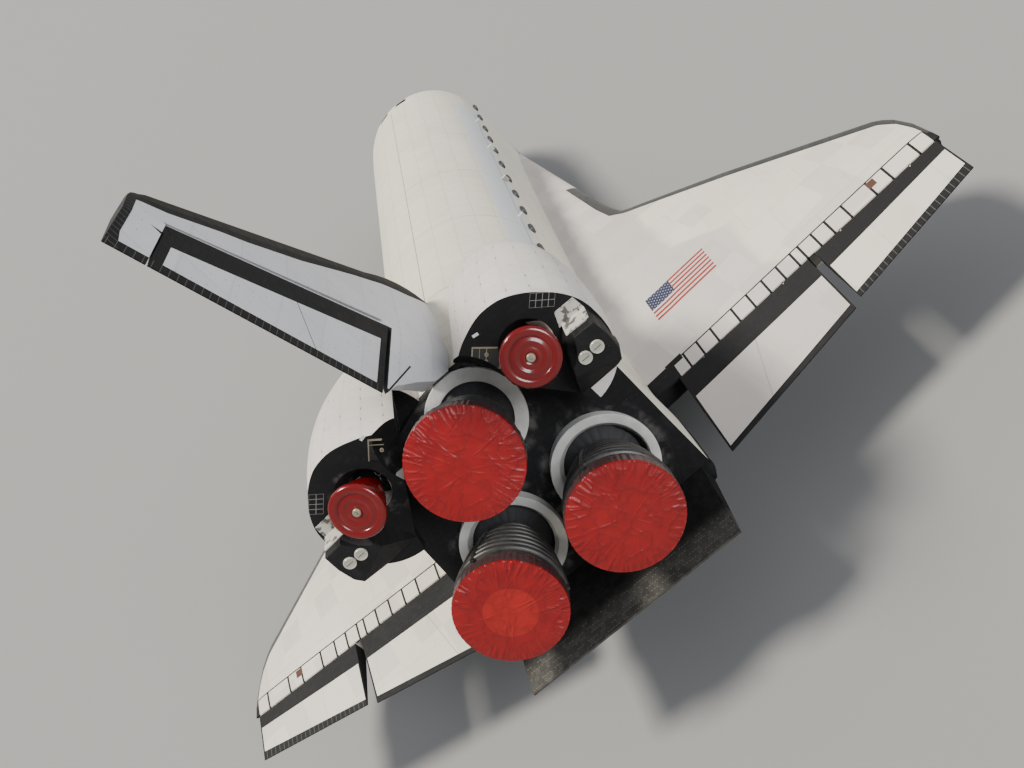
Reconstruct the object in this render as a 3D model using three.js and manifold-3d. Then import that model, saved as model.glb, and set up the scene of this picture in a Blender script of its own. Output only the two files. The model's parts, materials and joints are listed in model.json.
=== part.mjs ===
// A space shuttle orbiter, parked on its gear with its engine covers on.
// Shapes are built in the craft's own station inches: x to port, y aft, z up.
// The last lines turn the craft to its parked attitude and give it in millimetres.
import * as THREE from 'three';
import { mergeVertices } from 'three/addons/utils/BufferGeometryUtils.js';
import Module from 'manifold-3d';

const wasm = await Module();
wasm.setup();

const INCH = 25.4;
const SEAT = 0.3 / INCH; // gap between pieces that touch
const SWING = 8 / INCH; // gap between pieces that move past each other
const COLLAR = 0.7 / INCH; // gap beside a lug on its pin, and round the pin
const rad = THREE.MathUtils.degToRad;

// Driving dimensions
const HULL = { half: 106, belly: 267, waist: 395, crown: 501, wall: 4 };
const FORWARD = { capEnd: 268, end: 580, cabinStart: 380, bulkhead: 575, deckZ: 404, deckThick: 3 };
const BAY = { start: 580, end: 1304, radius: 92, axisZ: 400, sillAngle: 12.4 };
const DOOR = { low: 14.3, top: 89.93, steps: 9, thick: 3.5, axisX: 107.2, axisZ: 418, endGap: 0.5 };
const RADIATOR = { thick: 4, endGap: 18 };
const HATCH = { station: 480, z: 363, radius: 20, gap: 0.9, axisZ: 340.6, axisX: 107.6 };
const WING = { hinge: 1387, tailBase: 1525.24, tailSlope: -0.17733, dihedral: rad(3.5), rootTailZ: 271.3 };
const ELEVON = { topAxis: 3, inner: [140, 308], outer: [317, 463], noseFrom: 210, lipLow: 248,
  innerDroop: rad(10), outerDroop: rad(6.5) };
const FLAP = { hinge: 1530, z: 280.5, nose: 11, half: 116, tail: 1617, tailZ: 280 };
const FIN = { rootZ: 500, tipZ: 806, lead: 1280, leadSlope: 1.08, hingeRoot: 1441, hingeSlope: 0.6959,
  tailRoot: 1558, tailSlope: 0.476, rootHalf: 14, tipHalf: 5.65 };
const RUDDER = { low: 576, high: 776, lowGap: 3.2, highGap: 1.4, shaft: 1.2, core: 3, noseTo: 126,
  lowReach: 15, highReach: 10, inset: 0.12 };
const ENGINE = { length: 161, ringWidth: 11, ringDepth: 4.5, domeFrom: 19, domeThick: 1.6, recessTop: 495.2 };
const NOSE_GEAR = { station: 377, tyre: 16, width: 8.8, axleZ: 223, wellTop: 326 };
const MAIN_GEAR = { station: 1172, across: 136, tyre: 22.25, width: 16, axleZ: 187.3, wellTop: 314 };
const ROUND = { large: 16, middle: 12, small: 8 }; // sides of round pieces
const PARKED = rad(3.02); // nose-down attitude on the gear

// Geometry tools

function volumeOf(position, index) {
  const corner = (i) => new THREE.Vector3().fromBufferAttribute(position, index[i]);
  let sum = 0;
  for (let i = 0; i < index.length; i += 3) sum += corner(i).dot(corner(i + 1).cross(corner(i + 2))) / 6;
  return sum;
}

// A closed mesh with shared vertices, as a solid that can be joined and cut
function solidOf(geometry) {
  const bare = geometry.clone();
  for (const name of Object.keys(bare.attributes)) if (name !== 'position') bare.deleteAttribute(name);
  const merged = mergeVertices(bare);
  const index = merged.index.array;
  const kept = [];
  for (let i = 0; i < index.length; i += 3) {
    const [a, b, c] = [index[i], index[i + 1], index[i + 2]];
    if (a !== b && b !== c && c !== a) kept.push(a, b, c);
  }
  if (volumeOf(merged.attributes.position, kept) < 0) kept.reverse();
  return new wasm.Manifold(new wasm.Mesh({
    numProp: 3,
    vertProperties: new Float32Array(merged.attributes.position.array),
    triVerts: new Uint32Array(kept),
  }));
}

function shapeOf(solid) {
  const mesh = solid.getMesh();
  const geometry = new THREE.BufferGeometry();
  geometry.setAttribute('position', new THREE.Float32BufferAttribute(mesh.vertProperties, 3));
  geometry.setIndex(Array.from(mesh.triVerts));
  return geometry;
}

const join = (...shapes) => shapeOf(shapes.map(solidOf).reduce((sum, next) => sum.add(next)));
const cut = (shape, ...tools) => shapeOf(tools.map(solidOf).reduce((sum, next) => sum.subtract(next), solidOf(shape)));
const keep = (shape, tool) => shapeOf(solidOf(shape).intersect(solidOf(tool)));

function mirrored(geometry) {
  const other = geometry.clone().applyMatrix4(new THREE.Matrix4().makeScale(-1, 1, 1));
  const index = Array.from(other.index.array);
  for (let i = 0; i < index.length; i += 3) [index[i], index[i + 1]] = [index[i + 1], index[i]];
  other.setIndex(index);
  return other;
}

function ringNormal(ring) {
  const normal = new THREE.Vector3();
  ring.forEach((a, i) => normal.add(new THREE.Vector3().crossVectors(a, ring[(i + 1) % ring.length])));
  return normal.normalize();
}

function capFaces(ring) {
  const normal = ringNormal(ring);
  const [x, y, z] = [Math.abs(normal.x), Math.abs(normal.y), Math.abs(normal.z)];
  const flat = (p) => (y >= x && y >= z ? [p.x, p.z] : x >= z ? [p.y, p.z] : [p.x, p.y]);
  const faces = THREE.ShapeUtils.triangulateShape(ring.map((p) => new THREE.Vector2(...flat(p))), []);
  const area = new THREE.Vector3();
  for (const [a, b, c] of faces) {
    const [p, q, r] = [ring[a], ring[b], ring[c]];
    area.add(q.clone().sub(p).cross(r.clone().sub(p)));
  }
  return area.dot(normal) < 0 ? faces.map(([a, b, c]) => [a, c, b]) : faces;
}

// A skin through rings with the same number of points, capped flat at both ends. Each patch is
// folded along its shorter diagonal, so that the two sides of a symmetric body match.
function loft(rings) {
  const count = rings[0].length;
  const faces = [];
  for (let i = 0; i + 1 < rings.length; i++) {
    for (let j = 0; j < count; j++) {
      const next = (j + 1) % count;
      const [a, b, c, d] = [i * count + j, i * count + next, (i + 1) * count + next, (i + 1) * count + j];
      const [p, q, r, s] = [rings[i][j], rings[i][next], rings[i + 1][next], rings[i + 1][j]];
      if (p.distanceTo(r) <= q.distanceTo(s)) faces.push([a, b, c], [a, c, d]);
      else faces.push([a, b, d], [b, c, d]);
    }
  }
  const last = (rings.length - 1) * count;
  for (const [a, b, c] of capFaces(rings[0])) faces.push([a, c, b]);
  for (const [a, b, c] of capFaces(rings.at(-1))) faces.push([last + a, last + b, last + c]);
  const geometry = new THREE.BufferGeometry().setFromPoints(rings.flat());
  const index = faces.flat();
  geometry.setIndex(volumeOf(geometry.attributes.position, index) < 0 ? index.reverse() : index);
  return geometry;
}

// Prisms: an outline of two coordinates drawn along the third.
const alongX = (outline, from, to) => loft([from, to].map((x) => outline.map(([y, z]) => new THREE.Vector3(x, y, z))));
const alongY = (outline, from, to) => loft([from, to].map((y) => outline.map(([x, z]) => new THREE.Vector3(x, y, z))));
const alongZ = (outline, from, to) => loft([from, to].map((z) => outline.map(([x, y]) => new THREE.Vector3(x, y, z))));
const block = (x, y, z) => alongX([[y[0], z[0]], [y[1], z[0]], [y[1], z[1]], [y[0], z[1]]], x[0], x[1]);

// Points of an arc about (cx, cz), angles in degrees.
function arc(cx, cz, radius, from, to, steps) {
  return Array.from({ length: steps + 1 }, (_, i) => {
    const t = rad(from + ((to - from) * i) / steps);
    return [cx + radius * Math.cos(t), cz + radius * Math.sin(t)];
  });
}

function aim(geometry, from, direction) {
  const turn = new THREE.Quaternion().setFromUnitVectors(new THREE.Vector3(0, 1, 0), direction.clone().normalize());
  return geometry.applyMatrix4(new THREE.Matrix4().compose(from, turn, new THREE.Vector3(1, 1, 1)));
}

function rod(from, to, radius, sides = ROUND.small) {
  const span = to.clone().sub(from);
  const geometry = new THREE.CylinderGeometry(radius, radius, span.length(), sides);
  return aim(geometry.translate(0, span.length() / 2, 0), from, span);
}

// Radius of a bore in which an eight-sided pin can turn
const boreOf = (pin) => (pin + COLLAR) / Math.cos(Math.PI / ROUND.small);

// A turned piece: profile of [radius, distance] from axis to axis, along a direction.
function turned(profile, from, direction, sides = ROUND.large) {
  return aim(new THREE.LatheGeometry(profile.map(([r, d]) => new THREE.Vector2(r, d)), sides), from, direction);
}

const at = (x, y, z) => new THREE.Vector3(x, y, z);

// Fuselage

// Sections of the fuselage: station, height of top and bottom, half width, height of the widest
// point, roundness of the top (2 is an ellipse), and the bottom corner's width and height.
const HULL_ROWS = [
  [238.2, 341, 335, 3, 338, 2, 0.97, 0.97],
  [240, 347.5, 328, 10, 338, 2, 0.97, 0.97],
  [245, 356, 313, 22, 337, 2, 0.97, 0.97],
  [254, 367, 299.5, 34, 337, 2, 0.95, 0.95],
  [268, 377.5, 289, 46.5, 338, 2, 0.9, 0.92],
  [290, 388.5, 279.5, 59, 342, 2.05, 0.75, 0.85],
  [330, 402, 272, 75, 352, 2.15, 0.55, 0.6],
  [366, 412, 268.6, 86.5, 362, 2.25, 0.38, 0.42],
  [396, 446, 267.8, 93.5, 370, 2.15, 0.28, 0.3],
  [424, 474, 267.4, 98, 378, 2.1, 0.22, 0.24],
  [446, 489, 267.2, 100.6, 384, 2.1, 0.18, 0.2],
  [478, 497, 267, 103.6, 390, 2.05, 0.15, 0.16],
  [520, 500.4, 267, 105.6, 394, 2, 0.12, 0.12],
  [BAY.start, HULL.crown, HULL.belly, HULL.half, HULL.waist, 2, 0.1, 0.1],
].map(([station, top, bottom, half, waist, round, cornerX, cornerZ]) =>
  ({ station, top, bottom, half, waist, round, cornerX, cornerZ }));

const AFT_ROWS = [
  [BAY.end, HULL.crown, HULL.belly, HULL.half, HULL.waist, 2, 0.1, 0.1],
  [1380, 500, 267, 109, 400, 2.1, 0.1, 0.1],
  [1450, 498, 267.4, 119, 408, 2.2, 0.1, 0.1],
  [1540, 492, 268, 126.5, 412, 2.3, 0.1, 0.1],
].map(([station, top, bottom, half, waist, round, cornerX, cornerZ]) =>
  ({ station, top, bottom, half, waist, round, cornerX, cornerZ }));

const TOP_STEPS = 10;
const CORNER_STEPS = 3;

// The outer line of a section at an angle from starboard over the top, drawn in by an inset.
function topPoint(row, angle, inset = 0) {
  const [c, s] = [Math.cos(angle), Math.sin(angle)];
  const power = 2 / row.round;
  return at(Math.sign(c) * (row.half - inset) * Math.abs(c) ** power, row.station,
    row.waist + (row.top - row.waist - inset) * Math.abs(s) ** power);
}

function hullRing(row, inset = 0) {
  const ring = Array.from({ length: TOP_STEPS + 1 }, (_, i) => topPoint(row, (Math.PI * i) / TOP_STEPS, inset));
  const half = row.half - inset;
  const bottom = row.bottom + inset;
  const [wide, high] = [half * row.cornerX, (row.waist - bottom) * row.cornerZ];
  for (const side of [-1, 1]) {
    for (let i = 0; i <= CORNER_STEPS; i++) {
      const t = (Math.PI / 2) * (side < 0 ? i / CORNER_STEPS : 1 - i / CORNER_STEPS);
      ring.push(at(side * (half - wide + wide * Math.cos(t)), row.station, bottom + high - high * Math.sin(t)));
    }
  }
  return ring;
}

function rowAt(rows, station) {
  const next = rows.findIndex((row) => row.station >= station);
  if (next <= 0) return { ...rows[0], station };
  const [a, b] = [rows[next - 1], rows[next]];
  const t = (station - a.station) / (b.station - a.station);
  return Object.fromEntries(Object.keys(a).map((key) => [key, a[key] + (b[key] - a[key]) * t]));
}

// A length of the hull, always cut from the same loft so that neighbours match.
function hull(rows, from, to, inset = 0) {
  const whole = loft(rows.map((row) => hullRing(row, Math.min(inset, row.half * 0.5))));
  return keep(whole, block([-200, 200], [from, to], [200, 600]));
}

// Windshield panes: [station, angle from the top centre line] of each corner.
const PANES = [
  [[374, 3], [374, 24], [408, 29], [413, 3.5]],
  [[375, 29], [384, 50], [414, 52], [410, 34]],
  [[389, 56], [404, 73], [424, 66], [419, 55]],
];
const OVERHEAD = [[474, 5], [474, 16], [500, 16], [500, 5]];

// A plug through the skin between two insets, its corners on the hull.
function panePlug(corners, outer, inner) {
  return loft([outer, inner].map((inset) =>
    corners.map(([station, tilt]) => topPoint(rowAt(HULL_ROWS, station), Math.PI / 2 - rad(tilt), inset))));
}

function shrunk(corners, share) {
  const middle = corners.reduce(([a, b], [c, d]) => [a + c / 4, b + d / 4], [0, 0]);
  return corners.map(([s, t]) => [s + (middle[0] - s) * share, t + (middle[1] - t) * share]);
}

const bothSides = (shape) => [shape, mirrored(shape)];

// Landing gear wells and the openings that the hull is cut with
const noseWell = block([-17, 17], [318, 404], [255, NOSE_GEAR.wellTop]);
const hatchAxis = [at(90, HATCH.station, HATCH.z), at(120, HATCH.station, HATCH.z)];
const moduleZone = block([-70, 70], [280, 362], [366, 440]);

function forwardFuselage() {
  const outer = hull(HULL_ROWS, FORWARD.capEnd + SEAT, FORWARD.end);
  const upper = hull(HULL_ROWS, FORWARD.cabinStart, FORWARD.bulkhead, HULL.wall);
  const cabin = keep(upper, alongX([[300, 338], [430, 338], [430, 255], [600, 255], [600, 520], [300, 520]], -120, 120));
  const windows = [...PANES, OVERHEAD].flatMap((pane) => bothSides(panePlug(pane, -8, 9)));
  const hatch = rod(...hatchAxis, HATCH.radius, 20);
  return join(cut(outer, cabin, noseWell, moduleZone, hatch, ...windows), hatchEars());
}

function thrusterModule() {
  const body = keep(hull(HULL_ROWS, 280 + SEAT, 362 - SEAT), block([-70 + SEAT, 70 - SEAT], [270, 370], [366 + SEAT, 440]));
  const ports = [];
  for (const x of [-14, 0, 14]) ports.push(rod(at(x, 286, 372), at(x, 268, 398), 3.6)); // forward firing
  for (const [x, y] of [[-9, 318], [0, 330], [9, 318]]) ports.push(rod(at(x, y, 388), at(x, y, 420), 3.6));
  for (const side of [-1, 1]) {
    for (const y of [322, 336, 350]) ports.push(rod(at(side * 56, y, 378), at(side * 90, y, 392), 3.6));
  }
  return cut(body, ...ports);
}

function windshield(panes, from, to, low) {
  const zone = block([-100, 100], [from, to], [low, 520]);
  const glass = panes.flatMap((pane) => bothSides(keep(hull(HULL_ROWS, 366, to, 1.2), panePlug(shrunk(pane, 0.03), -8, 8))));
  const frame = keep(hull(HULL_ROWS, from, to, HULL.wall + SEAT), zone);
  return cut(join(frame, ...glass), hull(HULL_ROWS, from, to + 1, HULL.wall + 1.4));
}

// Deck, two seats, instrument panel and aft console
function flightDeck() {
  const floor = keep(hull(HULL_ROWS, 396, FORWARD.bulkhead - SEAT, HULL.wall + 1.4 + 2 * SEAT),
    block([-110, 110], [390, 580], [FORWARD.deckZ - FORWARD.deckThick, FORWARD.deckZ]));
  const panel = alongX([[402, FORWARD.deckZ - 1], [414, FORWARD.deckZ - 1], [420, 422], [408, 426]], -34, 34);
  const console = block([-40, 40], [552, 566], [FORWARD.deckZ - 1, 452]);
  const seats = [-22, 22].map((x) => alongX(
    [[440, 403], [462, 403], [470, 455], [463, 456], [456, 424], [438, 424]], x - 9, x + 9));
  return join(floor, panel, console, ...seats);
}

// Side hatch, hinged along its lower edge
function hatchEars() {
  const ears = [-7, 7].flatMap((y) => [[-3.9, -1.7 - COLLAR], [1.7 + COLLAR, 3.9]].map(([from, to]) => alongY(
    [[101, 333], [101, 341], [HATCH.axisX + 1, HATCH.axisZ + 1.8], [HATCH.axisX + 1.6, HATCH.axisZ - 1.4]],
    HATCH.station + y + from, HATCH.station + y + to)));
  const pins = [-7, 7].map((y) => rod(at(HATCH.axisX, HATCH.station + y - 3, HATCH.axisZ),
    at(HATCH.axisX, HATCH.station + y + 3, HATCH.axisZ), 0.7));
  return join(...ears, ...pins);
}

function sideHatch() {
  const skin = cut(hull(HULL_ROWS, 440, 520), hull(HULL_ROWS, 439, 521, HULL.wall));
  const disc = keep(skin, rod(...hatchAxis, HATCH.radius - HATCH.gap, 20));
  const lugs = [-7, 7].map((y) => alongY(
    [[101, 346.5], [101, 352], [104, 352], [HATCH.axisX + 1.6, HATCH.axisZ + 1], [HATCH.axisX + 1, HATCH.axisZ - 1.5],
      [HATCH.axisX - 1.2, HATCH.axisZ - 1.2], [HATCH.axisX - 1.6, HATCH.axisZ + 2.4], [104, 346.5]],
    HATCH.station + y - 1.7, HATCH.station + y + 1.7));
  const bores = [-7, 7].map((y) => rod(at(HATCH.axisX, HATCH.station + y - 4, HATCH.axisZ),
    at(HATCH.axisX, HATCH.station + y + 4, HATCH.axisZ), boreOf(0.7)));
  return cut(join(disc, ...lugs), ...bores);
}

// Mid fuselage: an open tub, with ears for the doors' hinges
const DOOR_HINGES = [640, 790, 940, 1090, 1240];

function midFuselage() {
  const sillZ = BAY.axisZ + BAY.radius * Math.sin(rad(BAY.sillAngle));
  const side = [[103.1, sillZ], [105.2, 408], [HULL.half, 396], [HULL.half, 279], [103, 270], [96, HULL.belly]];
  const bay = arc(0, BAY.axisZ, BAY.radius, 180 - BAY.sillAngle, 360 + BAY.sillAngle, 14);
  const outline = [...side, ...side.map(([x, z]) => [-x, z]).reverse(), ...bay];
  const tub = alongY(outline, BAY.start + SEAT, BAY.end - SEAT);
  const ear = [[102, 401], [102.6, 414], [106.2, 420], [109.2, 419.2], [108.6, 411], [105.2, 401]];
  const hinges = DOOR_HINGES.flatMap((y) => [
    alongY(ear, y - 4.4, y - 2 - COLLAR), alongY(ear, y + 2 + COLLAR, y + 4.4),
    rod(at(DOOR.axisX, y - 3.5, DOOR.axisZ), at(DOOR.axisX, y + 3.5, DOOR.axisZ), 0.8)]);
  return join(tub, ...hinges.flatMap(bothSides));
}

function payloadDoor() {
  const { low, top, steps, thick } = DOOR;
  const outline = [...arc(0, HULL.waist, HULL.half, low, top, steps), ...arc(0, HULL.waist, HULL.half - thick, top, low, steps)];
  const skin = alongY(outline, BAY.start + DOOR.endGap, BAY.end - DOOR.endGap);
  const lug = [[101.2, 421.8], [101, 428], [104.8, 424.5], [109.2, 418.8], [107.2, 415.9], [105.4, 417.2], [105, 420.6]];
  const lugs = DOOR_HINGES.map((y) => alongY(lug, y - 2, y + 2));
  const bores = DOOR_HINGES.map((y) => rod(at(DOOR.axisX, y - 3, DOOR.axisZ), at(DOOR.axisX, y + 3, DOOR.axisZ), boreOf(0.8)));
  return cut(join(skin, ...lugs), ...bores);
}

function radiator() {
  const { low, top, steps } = DOOR;
  const step = (top - low) / steps;
  const outer = HULL.half - DOOR.thick - 1.1 * SEAT;
  const ends = [low + step, top - step];
  const outline = [...arc(0, HULL.waist, outer, ...ends, steps - 2), ...arc(0, HULL.waist, outer - RADIATOR.thick, ...ends.reverse(), steps - 2)];
  return alongY(outline, BAY.start + RADIATOR.endGap, BAY.end - RADIATOR.endGap);
}

// White rings round the engines: distance aft of the gimbal, inner radius, recess radius behind,
// and the angle to which the engine's own dome shield closes the ring from inside.
// A lower ring is narrowest some way in and flares from there to its face.
const UPPER_RING = { ring: 44, throat: 34, recess: 46, domeTo: 41.7, narrow: 44, flare: 0 };
const LOWER_RING = { ring: 54, throat: 36, recess: 55, domeTo: 44.7, narrow: 50.9, flare: 3.4 };

// Main engines: gimbal point, upward tilt and outboard turn of each
const ENGINES = [
  { name: 'upper', gimbal: at(0, 1445, 443), tilt: rad(16), turn: 0, ...UPPER_RING },
  { name: 'port', gimbal: at(53, 1468.17, 342.64), tilt: rad(10), turn: rad(3.5), ...LOWER_RING },
  { name: 'starboard', gimbal: at(-53, 1468.17, 342.64), tilt: rad(10), turn: rad(-3.5), ...LOWER_RING },
];
const PODS = [
  { name: 'port', gimbal: at(88, 1518, 492), tilt: rad(15.8), turn: rad(6.5) },
  { name: 'starboard', gimbal: at(-88, 1518, 492), tilt: rad(15.8), turn: rad(-6.5) },
];
const thrustLine = ({ tilt, turn }) =>
  at(Math.sin(turn) * Math.cos(tilt), Math.cos(turn) * Math.cos(tilt), Math.sin(tilt));

// Turns a piece built about the origin, thrust along y, to its place on an engine.
function onEngine(engine, geometry) {
  const aft = thrustLine(engine);
  const across = at(Math.cos(engine.turn), -Math.sin(engine.turn), 0);
  const up = new THREE.Vector3().crossVectors(across, aft);
  return geometry.clone().applyMatrix4(new THREE.Matrix4().makeBasis(across, aft, up).setPosition(engine.gimbal));
}

// A universal joint: fixed fork across, block with four pins, moving fork up and down.
function gimbalParts(size) {
  const plate = (turnedUp, sign) => {
    const [near, far] = [5.6 * size, 8.4 * size].map((v) => v * sign);
    const side = [Math.min(near, far), Math.max(near, far)];
    const flat = [-2.6 * size, 2.6 * size];
    return turnedUp ? block(flat, [-2.6 * size, 14 * size], side) : block(side, [-14 * size, 2.6 * size], flat);
  };
  const pin = (turnedUp, radius, length) => (turnedUp
    ? rod(at(0, 0, -length), at(0, 0, length), radius) : rod(at(-length, 0, 0), at(length, 0, 0), radius));
  const bore = boreOf(1.4 * size);
  const fixed = cut(join(plate(false, -1), plate(false, 1),
    block([-8.4 * size, 8.4 * size], [-17 * size, -10 * size], [-4 * size, 4 * size])), pin(false, bore, 12 * size));
  const shoulder = 5.6 * size - COLLAR;
  const middle = join(...[false, true].flatMap((up) => [pin(up, 2.5 * size, shoulder), pin(up, 1.4 * size, 8.4 * size)]));
  const moving = cut(join(plate(true, -1), plate(true, 1),
    block([-4 * size, 4 * size], [10 * size, 15 * size], [-8.4 * size, 8.4 * size])), pin(true, bore, 12 * size));
  return { fixed, middle, moving };
}
const MAIN_GIMBAL = gimbalParts(1);
const POD_GIMBAL = gimbalParts(0.5);
const FORWARDS = at(0, 1, 0);

// The dome shield passes the ring's facets with room to swing.
const domeRadius = ({ narrow, throat }) => Math.hypot(narrow, throat) * Math.cos(Math.PI / ROUND.large) - 2 * SWING;

function engineNozzle(engine) {
  const bell = [[0, 13], [10, 13], [11, 34], [19.5, 52], [28, 68], [36.5, 93], [43.5, 124], [46.4, 146],
    [47.5, ENGINE.length], [0, ENGINE.length]];
  const zone = (radius, from, to) => arc(0, 0, radius, 90 - from, 90 - to, 2);
  const radius = domeRadius(engine);
  const dome = [...zone(radius, ENGINE.domeFrom, engine.domeTo),
    ...zone(radius - ENGINE.domeThick, engine.domeTo, ENGINE.domeFrom)];
  return join(MAIN_GIMBAL.moving, turned(bell, at(0, 0, 0), FORWARDS),
    turned([...dome, dome[0]], at(0, 0, 0), FORWARDS));
}

function engineCover() {
  const rim = ENGINE.length - 15;
  const seat = ENGINE.length + SEAT;
  const profile = [[0, seat], [47.55, seat], [46.58, rim], [47.8, rim],
    [49.2, ENGINE.length], [46, ENGINE.length + 2.6], [0, ENGINE.length + 3]];
  return turned(profile, at(0, 0, 0), FORWARDS);
}

function podNozzle() {
  const bell = [[0, 6], [3.6, 6], [4.4, 13], [12, 29], [17.5, 44], [20.6, 58], [21.6, 68], [0, 68]];
  return join(POD_GIMBAL.moving, turned(bell, at(0, 0, 0), FORWARDS));
}

function podPlug() {
  const profile = [[0, 68 + SEAT], [21.65, 68 + SEAT], [21.35, 64.6], [24.4, 64.6], [24.6, 69.6], [22, 70.6], [0, 71.4]];
  return turned(profile, at(0, 0, 0), FORWARDS);
}

// Aft fuselage: base shield with three recesses, each ringed, and a fork for each engine
function ringPlate(engine, margin = 0) {
  const { ring, throat, flare } = engine;
  const outer = throat + ENGINE.ringWidth;
  const profile = [[throat + 1, ring - ENGINE.ringDepth], [outer, ring - ENGINE.ringDepth], [outer, ring + 0.5], [throat + flare, ring + 0.5]];
  const grown = profile.map(([r, d]) => [r + margin * Math.sign(r - throat - 2), d + margin * Math.sign(d - ring)]);
  return onEngine(engine, turned([...grown, grown[0]], at(0, 0, 0), FORWARDS));
}

function engineRecess(engine) {
  const { ring, throat, recess, narrow, flare } = engine;
  const sphere = Math.hypot(narrow, throat);
  const onSphere = (depth) => [Math.sqrt(sphere ** 2 - depth ** 2), depth];
  const back = ring - ENGINE.ringDepth;
  const mouth = throat + flare;
  const profile = [[0, -13], [recess, -13], [recess, back], onSphere(back), onSphere((back + narrow) / 2), [throat, narrow],
    [mouth, ring + 0.4], [mouth, ring + 40], [0, ring + 40]];
  return keep(onEngine(engine, turned(profile, at(0, 0, 0), FORWARDS)), block([-200, 200], [1300, 1700], [250, ENGINE.recessTop]));
}

function aftFuselage() {
  const side = [[BAY.end + SEAT, 255], [FLAP.hinge, 255], [FLAP.hinge, 300], [1519, 351.5], [1484, 457], [1470, 500], [1466, 510],
    [BAY.end + SEAT, 510]];
  const shell = keep(hull(AFT_ROWS, BAY.end + SEAT, 1538), alongX(side, -140, 140));
  const ringed = cut(join(shell, ...ENGINES.map((engine) => ringPlate(engine))), ...ENGINES.map(engineRecess), flapCove());
  const forks = ENGINES.map((engine) => onEngine(engine, MAIN_GIMBAL.fixed));
  return join(ringed, ...forks, ...flapBrackets().map(({ fixed }) => fixed));
}

// Fin, rudder and speed brake

const finLead = (z) => FIN.lead + FIN.leadSlope * (z - FIN.rootZ);
const finHinge = (z) => FIN.hingeRoot + FIN.hingeSlope * (z - FIN.rootZ);
const finTail = (z) => FIN.tailRoot + FIN.tailSlope * (z - FIN.rootZ);
const finHalf = (z) => FIN.rootHalf + ((FIN.tipHalf - FIN.rootHalf) * (z - FIN.rootZ)) / (FIN.tipZ - FIN.rootZ);

function finRing(z, lead = finLead(z)) {
  const [hinge, tail, half] = [finHinge(z), finTail(z), finHalf(z)];
  const nose = 2.2;
  const side = [[nose * 0.7, lead + 0.8], [nose, lead + 3], [half, hinge], [0.5, tail]];
  return [at(0, lead, z), ...side.map(([x, y]) => at(x, y, z)), ...side.reverse().map(([x, y]) => at(-x, y, z))];
}

// Hinge line of the rudder, and places along it
const RUDDER_AXIS = at(0, FIN.hingeSlope, 1).normalize();
const RUDDER_FOOT = at(0, finHinge(RUDDER.low), RUDDER.low);
const rudderLength = (RUDDER.high - RUDDER.low) / RUDDER_AXIS.z;
const alongRudder = (distance) => RUDDER_FOOT.clone().addScaledVector(RUDDER_AXIS, distance);
const rudderRod = (from, to, radius, sides = ROUND.small) => rod(alongRudder(from), alongRudder(to), radius, sides);

// A cone about the hinge line that follows the fin's half thickness, grown by a margin.
function rudderCone(from, to, margin, sides = 20) {
  const radius = (distance) => finHalf(alongRudder(distance).z) * Math.cos(rad(4)) + margin;
  const cone = new THREE.CylinderGeometry(radius(to), radius(from), to - from, sides);
  return aim(cone.translate(0, (to - from) / 2, 0), alongRudder(from), RUDDER_AXIS);
}

function verticalFin() {
  const blade = loft([finRing(486, 1306), finRing(505, 1307), finRing(530, 1316), finRing(560, 1341), finRing(590), finRing(FIN.tipZ - 8),
    finRing(FIN.tipZ, finLead(FIN.tipZ) + 8)]);
  const [low, high] = [RUDDER.low - RUDDER.lowGap, RUDDER.high + RUDDER.highGap];
  const slab = alongX([[finHinge(low), low], [1800, low], [1800, high], [finHinge(high), high]], -30, 30);
  const lowTooth = rudderRod(-60, -SWING, RUDDER.lowReach - SWING, 16);
  const highTooth = rudderRod(rudderLength + SWING, rudderLength + 60, RUDDER.highReach - SWING, 16);
  const bay = cut(slab, lowTooth, highTooth);
  const foot = hull(AFT_ROWS, BAY.end, 1540, -SEAT);
  const below = alongX([[1300, 300], [1700, 300], [1700, 620], [1600, 575.4], [1568.6, 561.4], [1556, 552.2], [1536, 538.5],
    [1507.6, 516.3], [1470, 499.2], [1300, 492]], -30, 30);
  const plate = ringPlate(ENGINES[0], 2 * SEAT);
  const bores = rudderRod(-6 - SEAT, rudderLength + 5 + SEAT, boreOf(RUDDER.shaft));
  return cut(blade, bay, rudderCone(-SWING, rudderLength + SWING, SWING), openPanelRoom(), foot, below, plate, bores);
}

// Room ahead of the hinge for a panel's skin when brake and rudder turn it fully out: half widths
// across and forward, in shares of the fin's half thickness.
const OPEN_ROOM = [[0, 0.2], [0, 1.1], [1.35, 0.6], [1.35, -0.02], [0.4, -0.02]];

function openPanelRoom() {
  const aftward = new THREE.Vector3().crossVectors(at(1, 0, 0), RUDDER_AXIS).negate();
  const ring = (d) => OPEN_ROOM.map(([across, forward]) => {
    const half = finHalf(alongRudder(d).z);
    return alongRudder(d).addScaledVector(aftward, -forward * half).add(at(across * half, 0, 0));
  });
  const port = loft([-SWING, rudderLength + SWING].map(ring));
  return join(port, mirrored(port));
}

const RUDDER_HUBS = [0.08, 0.36, 0.64, 0.92];
const HUB = { radius: 2.7, half: 3.2, collar: 1.5 };

// The shaft, with a collar under the lowest hub of each panel
function rudderShaft() {
  const collars = RUDDER_HUBS.slice(0, 2).map((share) => {
    const top = share * rudderLength - HUB.half - COLLAR;
    return rudderRod(top - HUB.collar, top, 2.2);
  });
  return join(rudderRod(-6, rudderLength + 5, RUDDER.shaft), ...collars);
}

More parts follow.
